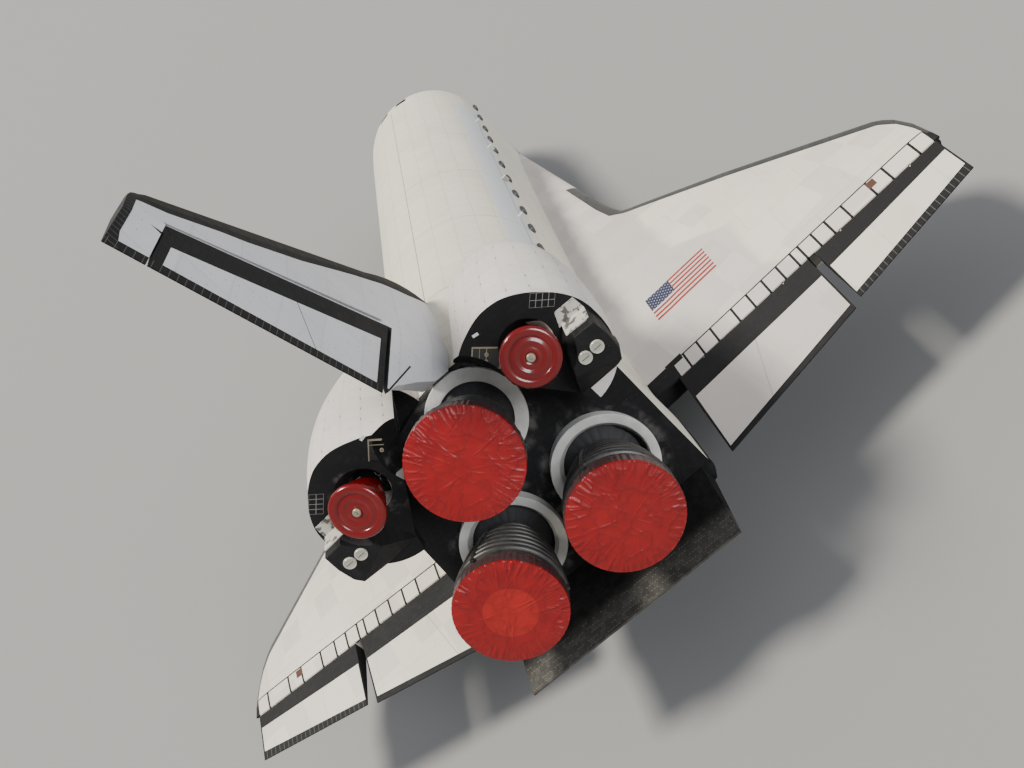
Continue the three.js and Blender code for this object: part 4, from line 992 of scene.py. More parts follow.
@dataclass(frozen=True)
class PatchFinish(Finish):
    """Pale film with dark smudges."""

    def make(self, s: Shader) -> bpy.types.Material:
        """Builds the film and its smudges."""
        smudge = s.ease(s.noise(5.5, 3), 0.52, 0.60)
        fine = s.noise(2, 4)
        base = s.mix(smudge * 0.85, s.shade((0.56, 0.54, 0.49), 0.8 + fine * 0.4), (0.035, 0.033, 0.03))
        return s.finish(base, 0.4 + fine * 0.2, 0.0, fine, 0.001)


@dataclass(frozen=True)
class TyreFinish(Finish):
    """Black rubber with dust."""

    def make(self, s: Shader) -> bpy.types.Material:
        """Builds the rubber."""
        dust = s.ease(s.noise(5, 5), 0.4, 0.8)
        base = s.mix(dust * 0.35, (0.012, 0.012, 0.013), (0.10, 0.095, 0.09))
        return s.finish(base, 0.62 + dust * 0.25, 0.0, s.noise(0.8, 3), 0.0008)


CREAM = HullFinish("cream_blankets")
DOOR_CLOTH = HullFinish("door_blankets", doors=True)
BLACK_BACK = TileFinish("black_tiles_back", Plane.BACK)
FLAP_TILES = FlapFinish("flap_tiles")
WING_WHITE = WingFinish("wing_sheet")
WING_FLAG = WingFinish("wing_sheet_striped", flag=True)
FIN_WHITE = FinFinish("fin_sheet")
POD_WHITE = PodFinish("pod_sheet")
CARBON = CarbonFinish("moulded_edge")
NOSE_CARBON = CarbonFinish("moulded_nose", across=False, pitch=400.0)
STRUT = MetalFinish("strut_paint", (0.62, 0.63, 0.62), 0.38, 0.25)
STEEL = MetalFinish("bare_steel", (0.55, 0.55, 0.54), 0.25, 1.0)
DARK_METAL = MetalFinish("dark_metal", (0.07, 0.07, 0.07), 0.5, 0.5)
NOZZLE = NozzleFinish("nozzle_metal")
RED_GLOSS = GlossFinish("red_lacquer", (0.14, 0.0015, 0.002), 0.2, 0.3)
BRASSY = MetalFinish("dull_brass", (0.34, 0.30, 0.23), 0.42, 0.5, 3.0)
GLASS = GlossFinish("dark_glass", (0.012, 0.014, 0.016), 0.04, 1.0, 0.82)
DARK_PANE = MetalFinish("dark_pane", (0.03, 0.032, 0.03), 0.3, 0.2, 3.0)
CLEAR_COVER = MetalFinish("clear_cover", (0.46, 0.45, 0.38), 0.22, 0.0, 1.2)
MOTTLED = PatchFinish("mottled_patch")
RING = RingFinish("ring_grey")
RUBBER = TyreFinish("tyre_rubber")
RADIATOR = MetalFinish("radiator_silver", (0.72, 0.73, 0.75), 0.22, 0.85, 20.0)
CABIN = MetalFinish("cabin_grey", (0.22, 0.23, 0.24), 0.55, 0.1, 4.0)
WHITE_PAINT = MetalFinish("white_paint", (0.74, 0.735, 0.71), 0.45, 0.0, 12.0)
BLACK_BLANKET = MetalFinish("black_blanket", (0.022, 0.022, 0.024), 0.7, 0.0, 5.0)


class Workshop:
    """Turns shapes into pieces that ride on the craft's bodies."""

    def __init__(self, frame: dict, craft: Craft) -> None:
        """Keeps the frame and starts with no materials."""
        self.frame, self.craft = frame, craft
        self.materials: dict[str, bpy.types.Material] = {}

    def material(self, finish: Finish) -> bpy.types.Material:
        """The material of a finish, made once."""
        if finish.name not in self.materials:
            self.materials[finish.name] = finish.make(Shader(finish.name, self.craft))
        return self.materials[finish.name]

    def add(self, name: str, shape: Shape, finish: Finish, body: str, slot: str, replaces: Sequence[str] = (),
            angle: float = 35.0) -> bpy.types.Object:
        """Makes a piece.

        Args:
            name: The piece's name.
            shape: Its shape, in station inches.
            finish: Its look.
            body: The body it rides on.
            slot: The record's material slot; not used.
            replaces: The solids it stands for.
            angle: Edges sharper than this many degrees stay sharp.

        Returns:
            The piece.
        """
        mesh = shape.mesh(name)
        mesh.transform(self.craft.matrix())
        mesh.materials.append(self.material(finish))
        mesh.polygons.foreach_set("use_smooth", [True] * len(mesh.polygons))
        mesh.set_sharp_from_angle(angle=math.radians(angle))
        piece = bpy.data.objects.new(name, mesh)
        bpy.context.scene.collection.objects.link(piece)
        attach(piece, body)
        if replaces:
            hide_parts(*replaces)
        LOG.info("%s: %d faces on %s", name, len(mesh.polygons), body)
        return piece

    def dress(self, node: str, finish: Finish, angle: float = 30.0) -> None:
        """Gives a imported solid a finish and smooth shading."""
        solid = self.frame["nodes"][node]
        material = self.material(finish)
        if not solid.material_slots:
            solid.data.materials.append(material)
        for place in solid.material_slots:
            place.material = material
        solid.data.polygons.foreach_set("use_smooth", [True] * len(solid.data.polygons))
        solid.data.set_sharp_from_angle(angle=math.radians(angle))
        LOG.info("%s dressed in %s", node, finish.name)


@dataclass(frozen=True)
class Row:
    """A section of the fuselage."""

    station: float
    top: float
    bottom: float
    half: float
    waist: float
    round: float
    corner_x: float
    corner_z: float


@dataclass
class Hull:
    """The fuselage's outer form, smooth between a few sections."""

    rows: tuple[Row, ...] = (
        Row(238.2, 341, 335, 3, 338, 2, 0.97, 0.97), Row(240, 347.5, 328, 10, 338, 2, 0.97, 0.97),
        Row(245, 356, 313, 22, 337, 2, 0.97, 0.97), Row(254, 367, 299.5, 34, 337, 2, 0.95, 0.95),
        Row(268, 377.5, 289, 46.5, 338, 2, 0.9, 0.92), Row(290, 388.5, 279.5, 59, 342, 2.05, 0.75, 0.85),
        Row(330, 402, 272, 75, 352, 2.15, 0.55, 0.6), Row(366, 412, 268.6, 86.5, 362, 2.25, 0.38, 0.42),
        Row(396, 446, 267.8, 93.5, 370, 2.15, 0.28, 0.3), Row(424, 474, 267.4, 98, 378, 2.1, 0.22, 0.24),
        Row(446, 489, 267.2, 100.6, 384, 2.1, 0.18, 0.2), Row(478, 497, 267, 103.6, 390, 2.05, 0.15, 0.16),
        Row(520, 500.4, 267, 105.6, 394, 2, 0.12, 0.12), Row(580, 501, 267, 106, 395, 2, 0.1, 0.1),
        Row(1304, 501, 267, 106, 395, 2, 0.1, 0.1), Row(1380, 500, 267, 109, 400, 2.1, 0.1, 0.1),
        Row(1450, 498, 267.4, 119, 408, 2.2, 0.1, 0.1), Row(1540, 492, 268, 126.5, 412, 2.3, 0.1, 0.1))
    top_steps: int = 56
    corner_steps: int = 7

    def row(self, station: float) -> Row:
        """The section at a station."""
        stations = [row.station for row in self.rows]
        names = ("top", "bottom", "half", "waist", "round", "corner_x", "corner_z")
        columns = ([getattr(row, name) for row in self.rows] for name in names)
        return Row(station, *(smooth_curve(stations, column, station) for column in columns))

    def point(self, station: float, angle: float, inset: float = 0.0) -> tuple[float, float, float]:
        """A point of the top half at an angle from starboard over the top, in radians."""
        row = self.row(station)
        c, s = math.cos(angle), math.sin(angle)
        power = 2 / row.round
        return (math.copysign((row.half - inset) * abs(c) ** power, c), station,
                row.waist + (row.top - row.waist - inset) * abs(s) ** power)

    def ring(self, station: float, inset: float = 0.0) -> list[tuple[float, float, float]]:
        """A whole section."""
        row = self.row(station)
        inset = min(inset, row.half * 0.5)
        ring = [self.point(station, math.pi * i / self.top_steps, inset) for i in range(self.top_steps + 1)]
        half, bottom = row.half - inset, row.bottom + inset
        wide, high = half * row.corner_x, (row.waist - bottom) * row.corner_z
        for side in (-1, 1):
            for i in range(self.corner_steps + 1):
                t = math.pi / 2 * (i if side < 0 else self.corner_steps - i) / self.corner_steps
                x, z = half - wide + wide * math.cos(t), bottom + high - high * math.sin(t)
                ring.append((side * x, station, z))
        return ring

    def through(self, stations: Iterable[float], inset: float = 0.0) -> Shape:
        """A closed length of the fuselage through sections at some stations."""
        return skin(np.array([self.ring(y, inset) for y in stations]))

    def solid(self, start: float, end: float, inset: float = 0.0, steps: int = 24) -> Shape:
        """A closed length of the fuselage in even steps."""
        return self.through(np.linspace(start, end, steps + 1), inset)


@dataclass
class ForwardBody:
    """Nose cap, forward thruster module, cabin with its windows, and the side hatch."""

    hull: Hull
    cap_end: float = 268.0
    end: float = 580.0
    cabin: Pair = (380.0, 575.0)
    wall: float = 4.0
    seam: float = 0.35
    panes: tuple = (
        ((374, 3), (374, 24), (408, 29), (413, 3.5)),
        ((375, 29), (384, 50), (414, 52), (410, 34)),
        ((389, 56), (404, 73), (424, 66), (419, 55)))
    overhead: tuple = ((474, 5), (474, 16), (500, 16), (500, 5))
    hatch: tuple[float, float, float] = (480.0, 363.0, 20.0)
    jets: tuple = (
        ((-14, 286, 372), (-14, 268, 398)), ((0, 286, 372), (0, 268, 398)), ((14, 286, 372), (14, 268, 398)),
        ((-9, 318, 388), (-9, 318, 420)), ((0, 330, 388), (0, 330, 420)), ((9, 318, 388), (9, 318, 420)))

    def build(self, shop: Workshop) -> None:
        """Makes every piece of the forward body."""
        stations = 238.2 + (self.cap_end - 238.2) * np.linspace(0, 1, 22) ** 1.8
        cap = self.hull.through(stations)
        shop.add("nose_cap_shell", cap, NOSE_CARBON, "airframe", "edge_grey", ["nose_cap"], 50)
        self.cabin_skin(shop)
        self.module(shop)
        self.windows(shop)
        self.side_hatch(shop)
        shop.dress("flight_deck", CABIN)

    def rounded(self, corners: Sequence[Pair], share: float, steps: int = 5) -> list[Pair]:
        """A pane's outline drawn in by a share of its size, with rounded corners."""
        points = np.array(corners, float)
        middle = points.mean(axis=0)
        points = points + (middle - points) * share
        outline = []
        for i, corner in enumerate(points):
            before, after = points[i - 1] - corner, points[(i + 1) % 4] - corner
            start, end = corner + before * 0.16, corner + after * 0.16
            for t in np.linspace(0, 1, steps):
                outline.append(tuple((1 - t) ** 2 * start + 2 * t * (1 - t) * corner + t**2 * end))
        return outline

    def loop(self, corners: Sequence[Pair], share: float, inset: float) -> list:
        """A pane's outline on the hull at an inset."""
        return [self.hull.point(station, math.pi / 2 - math.radians(tilt), inset)
                for station, tilt in self.rounded(corners, share)]

    def plug(self, corners: Sequence[Pair], share: float, outer: float, inner: float) -> Shape:
        """A plug through the skin between two insets."""
        return skin(np.array([self.loop(corners, share, outer), self.loop(corners, share, inner)]))

    def through_hatch(self, radius: float, rise: float = 0.0, sides: int = 64) -> Shape:
        """A round bar through the side at the hatch, to cut with."""
        station, height, _ = self.hatch
        return bar((90, station, height + rise), (125, station, height + rise), radius, sides)

    def cabin_skin(self, shop: Workshop) -> None:
        """The hull with its cabin, nose wheel well, windows and hatch opening cut."""
        fore = np.linspace(self.cap_end + self.seam, 460, 40)
        outer = self.hull.through([*fore, *np.linspace(465, self.end, 16)])
        room = self.hull.through(np.linspace(*self.cabin, 24), self.wall)
        side = [(300, 338), (430, 338), (430, 255), (600, 255), (600, 520), (300, 520)]
        cabin = carve(room, [prism(side, "x", -120, 120)], Join.KEEP)
        well = block((-17, 17), (318, 404), (255, 326))
        module = block((-70, 70), (280, 362), (366, 440))
        plugs = [self.plug(pane, -0.03, -8, 9) for pane in (*self.panes, self.overhead)]
        plugs += [plug.mirrored() for plug in plugs]
        tools = [cabin, well, module, self.through_hatch(self.hatch[2]), *plugs]
        body = carve(outer, tools, Join.CUT)
        shop.add("forward_body", body, CREAM, "airframe", "blanket_white", ["forward_fuselage"])

    def module(self, shop: Workshop) -> None:
        """The thruster module with its jets' openings and dark liners."""
        gap = self.seam
        zone = block((-70 + gap, 70 - gap), (280 + gap, 362 - gap), (366 + gap, 440))
        outer = self.hull.through(np.linspace(276, 366, 24))
        side = [((x * 56, y, 378), (x * 90, y, 392)) for x in (-1, 1) for y in (322, 336, 350)]
        holes = [bar(a, b, 3.6, 32) for a, b in (*self.jets, *side)]
        body = carve(carve(outer, [zone], Join.KEEP), holes, Join.CUT)
        shop.add("thruster_module_skin", body, WHITE_PAINT, "airframe", "blanket_white",
                 ["forward_thruster_module"])
        profile = [(0, 0.3), (1.6, 0.3), (3.5, 9.0), (3.5, 9.6), (1.2, 0.1), (0, 0.1)]
        liners = []
        for a, b in (*self.jets, *side):
            start, along = Vector(a), (Vector(b) - Vector(a)).normalized()
            liners.append(turned(profile, stand(start + along * 0.2, along), 32))
        shop.add("thruster_liners", combined(liners), NOZZLE, "airframe", "nozzle_dark")

    def windows(self, shop: Workshop) -> None:
        """Frames and dark panes of the windshield and the overhead windows."""
        frames, glass = [], []
        for pane in (*self.panes, self.overhead):
            outer, inner = (np.array([self.loop(pane, share, inset) for inset in (0.5, 5.0)])
                            for share in (-0.01, 0.16))
            frames.append(skin(np.array([outer[0], outer[1], inner[1], inner[0], outer[0]]), capped=False))
            glass.append(self.plug(pane, 0.13, 2.0, 3.2))
        shop.add("window_frames", combined(frames).both(), DARK_METAL, "airframe", "window_black",
                 ["windshield", "overhead_windows"])
        shop.add("window_glass", combined(glass).both(), GLASS, "airframe", "window_black")

    def side_hatch(self, shop: Workshop) -> None:
        """The round hatch with its window, lugs and a rim."""
        station, height, radius = self.hatch
        rise, pane = 6, 5.2
        stations = np.linspace(450, 510, 12)
        outer, inner = (self.hull.through(stations, inset) for inset in (0, self.wall))
        disc = carve(carve(outer, [inner], Join.CUT), [self.through_hatch(radius - 0.9)], Join.KEEP)
        disc = carve(disc, [self.through_hatch(pane, rise, 40)], Join.CUT)
        lugs = combined(block((103.4, 109.0), (station + y - 1.6, station + y + 1.6), (339.4, 350))
                        for y in (-7, 7))
        place = stand((103.2, station, height + rise), PORT)
        rim = turned([(pane, 0), (6.4, 0), (6.4, 0.6), (pane, 0.6)], place, 40, True)
        glass = turned([(0, -0.8), (5.6, -0.8), (5.6, -1.4), (0, -1.4)], place, 40)
        shop.add("hatch_panel", disc + lugs + rim, CREAM, "side_hatch", "blanket_white", ["side_hatch"])
        shop.add("hatch_glass", glass, GLASS, "side_hatch", "window_black")


@dataclass
class MidBody:
    """The payload bay's tub, its doors with radiators, and the hinge covers along the sills."""

    hull: Hull
    bay: Pair = (580.0, 1304.0)
    bay_radius: float = 92.0
    bay_axis: float = 400.0
    sill_angle: float = 12.4
    door_low: float = 14.3
    door_top: float = 89.93
    door_thick: float = 3.5
    radiator_thick: float = 4.0
    hinges: tuple = (640, 790, 940, 1090, 1240)
    covers: tuple = (518, 584, 654, 716, 776, 848, 914, 980, 1046, 1112, 1178, 1254, 1310)

    def build(self, shop: Workshop) -> None:
        """Makes the tub, the doors, the radiators and the hinge covers."""
        start, end = self.bay
        sill = self.bay_axis + self.bay_radius * math.sin(math.radians(self.sill_angle))
        ring = [(x, z) for x, _, z in self.hull.ring(start)]
        middle = self.hull.top_steps // 2
        lower = [(x, z) for x, z in (*ring[middle:], *ring[:middle]) if z < sill - 1]
        inner = arc((0, self.bay_axis), self.bay_radius, 180 - self.sill_angle, 360 + self.sill_angle, 56)
        outline = [*lower, (103.1, sill), *inner[::-1], (-103.1, sill)]
        tub = prism(outline, "y", start + 0.3, end - 0.3)
        shop.add("bay_tub", tub, CREAM, "airframe", "blanket_white", ["mid_fuselage"])
        for side in ("port", "starboard"):
            self.door(shop, side)
        self.hinge_covers(shop)

    def door(self, shop: Workshop, side: str) -> None:
        """One payload door with its radiator."""
        start, end = self.bay
        half, waist = self.hull.row(900).half, self.hull.row(900).waist
        outer = arc((0, waist), half, self.door_low, self.door_top, 40)
        inner = arc((0, waist), half - self.door_thick, self.door_top, self.door_low, 40)
        panel = prism([*outer, *inner], "y", start + 0.5, end - 0.5)
        lugs = combined(block((101.6, 109.0), (y - 1.8, y + 1.8), (416.4, 424.5)) for y in self.hinges)
        step = (self.door_top - self.door_low) / 9
        ends = (self.door_low + step, self.door_top - step)
        radius = half - self.door_thick - 0.4
        back = radius - self.radiator_thick
        face = prism([*arc((0, waist), radius, *ends, 32), *arc((0, waist), back, *ends[::-1], 32)],
                     "y", start + 18, end - 18)
        across = radius - 4.2
        tubes = combined(prism(arc((math.cos(t) * across, waist + math.sin(t) * across), 0.45, 0, 315, 7),
                               "y", start + 20, end - 20)
                         for t in np.radians(np.linspace(ends[0] + 2, ends[1] - 2, 14)))
        body = f"payload_door_{side}"
        shop.add(f"bay_door_{side}", on_side(panel + lugs, side), DOOR_CLOTH, body, "blanket_white", [body])
        shop.add(f"door_radiator_{side}", on_side(face + tubes, side), RADIATOR, body, "radiator_silver",
                 [f"radiator_{side}"])

    def hinge_covers(self, shop: Workshop) -> None:
        """Dark rounded covers under the doors' lower edges."""
        outline = [(105.2, 404), (107.6, 405), (108.2, 409), (107.4, 413), (105.0, 414)]
        rows = []
        for y in self.covers:
            reach = [(y - 9, 0.0), (y - 7, 0.8), (y + 7, 0.8), (y + 9, 0.0)]
            rows.append(skin(np.array([[(104 + (x - 104) * (0.3 + t), v, 409 + (z - 409) * (0.5 + t * 0.6))
                                        for x, z in outline] for v, t in reach])))
        shop.add("sill_hinge_covers", combined(rows).both(), DARK_METAL, "airframe", "tile_black")


@dataclass
class AftBody:
    """The aft fuselage: base shield, rings round the engines and the flap's recess."""

    hull: Hull
    start: float = 1304.3
    ring_depth: float = 4.5
    collar: float = 11.0
    flap: tuple[float, float, float] = (1530.0, 280.5, 11.0)

    def build(self, shop: Workshop) -> None:
        """Makes the shell, the rings and what is bolted to the base."""
        outline = [(self.start, 255), (1530, 255), (1530, 300), (1519, 351.5), (1484, 457), (1470, 500),
                   (1466, 510), (self.start, 510)]
        shell = carve(self.hull.solid(self.start, 1538, 0, 30), [prism(outline, "x", -140, 140)], Join.KEEP)
        rooms = [self.recess(engine) for engine in ENGINES]
        y, z, nose = self.flap
        cove = [prism(arc((y, z), nose + 0.4, 0, 354, 48), "x", -150, 150),
                prism([(y - 4.6, z - nose), (y + 40, z), (y + 40, 200), (y - 4.6, 200)], "x", -150, 150)]
        body = carve(shell, [*rooms, *cove], Join.CUT)
        shop.add("aft_body", body, AFT_SIDES, "airframe", "tile_black", ["aft_fuselage"])
        for engine in ENGINES:
            self.ring_plate(shop, engine)

    def recess(self, engine: Engine) -> Shape:
        """The room in which an engine swings."""
        sphere = math.hypot(engine.narrow, engine.throat)
        mouth = engine.throat + engine.flare
        deep = math.sqrt(sphere**2 - engine.recess**2)
        waist = [(math.sqrt(sphere**2 - d**2), d) for d in np.linspace(deep, engine.narrow, 16)]
        profile = [(0, -13), (engine.recess, -13), *waist, (mouth, engine.ring + 0.4),
                   (mouth, engine.ring + 40), (0, engine.ring + 40)]
        room = turned(profile, engine.place(), 96)
        return carve(room, [block((-200, 200), (1300, 1700), (250, 495.2))], Join.KEEP)

    def ring_plate(self, shop: Workshop, engine: Engine) -> None:
        """A pale ring in segments with a rounded inner lip and bolts."""
        low, high = engine.ring - self.ring_depth, engine.ring + 0.5 + engine.flare * 0.65
        near, far, deep = engine.throat + engine.flare * 1.5, engine.outer, engine.ring - self.collar
        wall = math.sqrt(engine.narrow**2 + engine.throat**2 - deep**2) + 0.3
        profile = [(engine.throat + 1, low), (wall, low), (wall, deep), (far, deep), (far, high - 0.4),
                   (far - 0.4, high), (near + 1.2, high), (near + 0.2, high - 0.4)]
        place = engine.place()
        ring = turned(profile, place, 128, True)
        wedges = [block((near - 1, far + 1), (high - 0.12, high + 1), (-0.16, 0.16)).moved(
            place @ Matrix.Rotation(math.radians(a), 4, "Y")) for a in range(0, 360, 30)]
        ring = carve(ring, wedges, Join.CUT)
        bolts = []
        for k in range(72):
            turn = Matrix.Rotation(math.radians(5 * k + 2.5), 4, "Y")
            for radius in (near + 1.9, far - 1.5):
                bolt = bar((radius, high - 0.2, 0), (radius, high + 0.18, 0), 0.32, 6)
                bolts.append(bolt.moved(place @ turn))
        shop.add(f"engine_ring_{engine.name}", ring + combined(bolts), RING, "airframe", "gear_steel")


@dataclass(frozen=True)
class AftSideFinish(Finish):
    """Cream sides above, black tiles on the base and below."""

    def make(self, s: Shader) -> bpy.types.Material:
        """Builds blankets on the sides and tiles on the base."""
        cloth, rough, height = quilt(s, WHITE_CLOTH, s.y, s.z, (26.0, 30.0))
        base = s.facing[1] > 0.55
        lip = s.y > 1526 - (s.z - 300) * 0.33
        dark = base | (s.z < 294) | (lip & (s.across < 119))
        black, black_rough, black_height = tiles(s, Plane.BACK, spread=0.5)
        streak = s.ease(s.noise(18, 5, (1, 1, 0.35)), 0.60, 0.84)
        black = s.mix(streak * 0.10, black, (0.15, 0.15, 0.155))
        for engine in ENGINES:
            _, away = s.about(engine.gimbal, engine.axis())
            haze = (1 - s.ease(abs(away - engine.outer - 2), 1, 11)) * s.ease(s.noise(13, 5), 0.44, 0.7)
            black = s.mix(haze * 0.42, black, (0.20, 0.19, 0.18))
        return s.both(dark, (cloth, rough, height), (black, black_rough, black_height), 0.003, 0.25)


AFT_SIDES = AftSideFinish("aft_body_skin")


@dataclass
class MainEngine:
    """A ribbed bell with its dome shield, and the red cloth over its mouth."""

    engine: Engine
    length: float = 161.0
    mouth: float = 47.5
    lip: float = 48.3
    cloth: float = 47.2
    seed: int = 1
    flare: tuple = ((10, 12), (16, 9.5), (22, 9.0), (34, 11.6), (52, 20), (68, 28), (93, 36.5), (124, 43.5),
                    (146, 46.4), (161, 47.5))
    hoops: tuple = (70, 84, 96, 107, 117, 126.5, 135.5)
    hoop: Pair = (3.1, 3.2)
    hem: tuple = ((48.6, 0.3, 0.1), (49.0, -0.9, 0.2), (49.1, -2.6, 0.3), (48.8, -4.6, 0.35),
                  (49.1, -6.4, 0.4), (48.8, -9, 0.4), (48.5, -11, 0.3), (48.9, -12.4, 0.4))

    def build(self, shop: Workshop) -> None:
        """Makes the nozzle, its shield and its cover."""
        place, name = self.engine.place(), self.engine.name
        body = f"engine_nozzle_{name}"
        shop.add(f"bell_{name}", self.bell().moved(place), NOZZLE, body, "nozzle_dark", [body], 40)
        shop.add(f"dome_shield_{name}", self.dome().moved(place), BLACK_BLANKET, body, "tile_black")
        finish = ClothFinish(f"red_cloth_{name}", self.engine, 0.85 if name == "port" else 0.15)
        piece = shop.add(f"bell_cover_{name}", self.cover().moved(place), finish, body, "cover_red",
                         [f"engine_cover_{name}"], 60)
        shop.dress(f"engine_gimbal_{name}", STEEL)

    def radius(self, distance: float) -> float:
        """The bell's radius at a distance from the gimbal."""
        return smooth_curve(*zip(*self.flare), distance)

    def bell(self) -> Shape:
        """The bell with fine tubes, raised hoops towards the mouth and its feed tubes."""
        upper = self.engine.name == "upper"
        profile = [(0, 12), (11, 12)]
        tall = 0.0 if upper else self.hoop[1]
        for d in np.arange(14, self.length - 0.4, 0.4):
            ripple = 0.12 * abs(math.sin(math.pi * d / 3))
            hoop = max(1 - ((d - band) / self.hoop[0]) ** 2 for band in self.hoops)
            raised = tall * math.sqrt(hoop) if hoop > 0 else 0.0
            profile.append((self.radius(float(d)) + ripple + raised, float(d)))
        profile += [(self.mouth, self.length - 1.2), (self.lip, self.length - 1.0), (self.lip, self.length),
                    (46.5, self.length), (0, self.length)]
        shape = turned(profile, Matrix.Identity(4), 96)
        for angle in (270,) if upper else (90, 210, 330):
            t = math.radians(angle)
            path = []
            for d in np.linspace(71, 142, 20):
                away = self.radius(float(d)) + 2.4
                path.append((away * math.cos(t), float(d), away * math.sin(t)))
            shape = shape + pipe(path, 1.7, 12)
        turns = np.linspace(0, 2 * math.pi, 12)
        manifold = [(10 + 1.5 * math.cos(a), 30 + 1.5 * math.sin(a)) for a in turns]
        return shape + turned(manifold, Matrix.Identity(4), 64)

    def dome(self) -> Shape:
        """The dark shield that closes the ring round the bell's neck, quilted in gores."""
        reach = math.hypot(self.engine.narrow, self.engine.throat) * math.cos(math.pi / 16) - 0.63
        angles = np.radians(np.linspace(18, self.engine.dome, 26))
        t = np.linspace(0, 2 * math.pi, 144, endpoint=False)
        gores = 0.5 * np.abs(np.sin(t * 12)) ** 0.5
        rings = []
        for a in angles:
            share = min(1, (a - angles[0]) / (angles[-1] - angles[0]))
            r = reach - 0.9 + gores * math.sin(math.pi * share)
            ring = [r * math.sin(a) * np.cos(t), r * math.cos(a) + 0 * t, r * math.sin(a) * np.sin(t)]
            rings.append(np.stack(ring, axis=1))
        inner = [ring * ((reach - 2.2) / reach) for ring in rings[::-1]]
        return skin(np.array([*rings, *inner, rings[0]]), capped=False)

    def folds(self) -> list[tuple]:
        """Folds of the cover: angle and place of each one's root, length, lean, width and height."""
        draw = np.random.default_rng(self.seed)
        folds, count = [], 58
        for k in range(count):
            angle = 2 * math.pi * k / count + draw.normal(0, 0.05)
            slack = 0.45 + 0.55 * max(0.0, math.sin(angle)) + 0.2 * max(0.0, -math.sin(angle))
            folds.append((angle, 1.0, draw.uniform(6, 16) * slack + 3, draw.normal(0, 0.12),
                          draw.uniform(0.6, 1.2), draw.uniform(0.5, 1.1) * slack))
        for _ in range(22):
            angle = draw.uniform(0, 2 * math.pi)
            folds.append((angle, draw.uniform(0.2, 0.8), draw.uniform(5, 15), draw.normal(0, 0.5),
                          draw.uniform(0.4, 0.9), draw.uniform(0.2, 0.45)))
        return folds

    def cover(self) -> Shape:
        """Cloth stretched over the mouth, with folds from the rim and a gathered hem round the lip."""
        t = np.linspace(0, 2 * math.pi, 384, endpoint=False)
        folds = self.folds()
        rings = []
        for r in np.linspace(0, 1, 48) ** 0.85 * self.cloth:
            x, z = r * np.cos(t), r * np.sin(t)
            height = self.length + 0.5 + 1.6 * (1 - (r / 48) ** 2) + 0 * t
            for angle, where, length, lean, width, tall in folds:
                cx, cz = 47 * where * math.cos(angle), 47 * where * math.sin(angle)
                ax, az = math.cos(angle + lean), math.sin(angle + lean)
                along, off = (x - cx) * ax + (z - cz) * az, -(x - cx) * az + (z - cz) * ax
                off = off + 0.006 * along**2 * math.copysign(1, lean)
                height = height + tall * np.exp(-(off / width) ** 2) * np.exp(-(along / length) ** 4)
            height = height - (r / self.cloth) ** 12 * 0.5
            rings.append(np.stack([x, height, z], axis=1))
        gather = np.sin(t * 58 + 1.6 * np.sin(t * 4 + self.seed)) * (0.6 + 0.4 * np.sin(t * 9))
        scallop = 0.9 * np.sin(t * 17 + self.seed) + 0.5 * np.sin(t * 31)
        for radius, offset, ruffle in self.hem:
            r = radius + ruffle * gather
            drop = offset + (scallop * abs(offset) / 12.4 if offset < 0 else 0)
            rings.append(np.stack([r * np.cos(t), self.length + drop + 0 * t, r * np.sin(t)], axis=1))
        return skin(np.array(rings), capped=False)


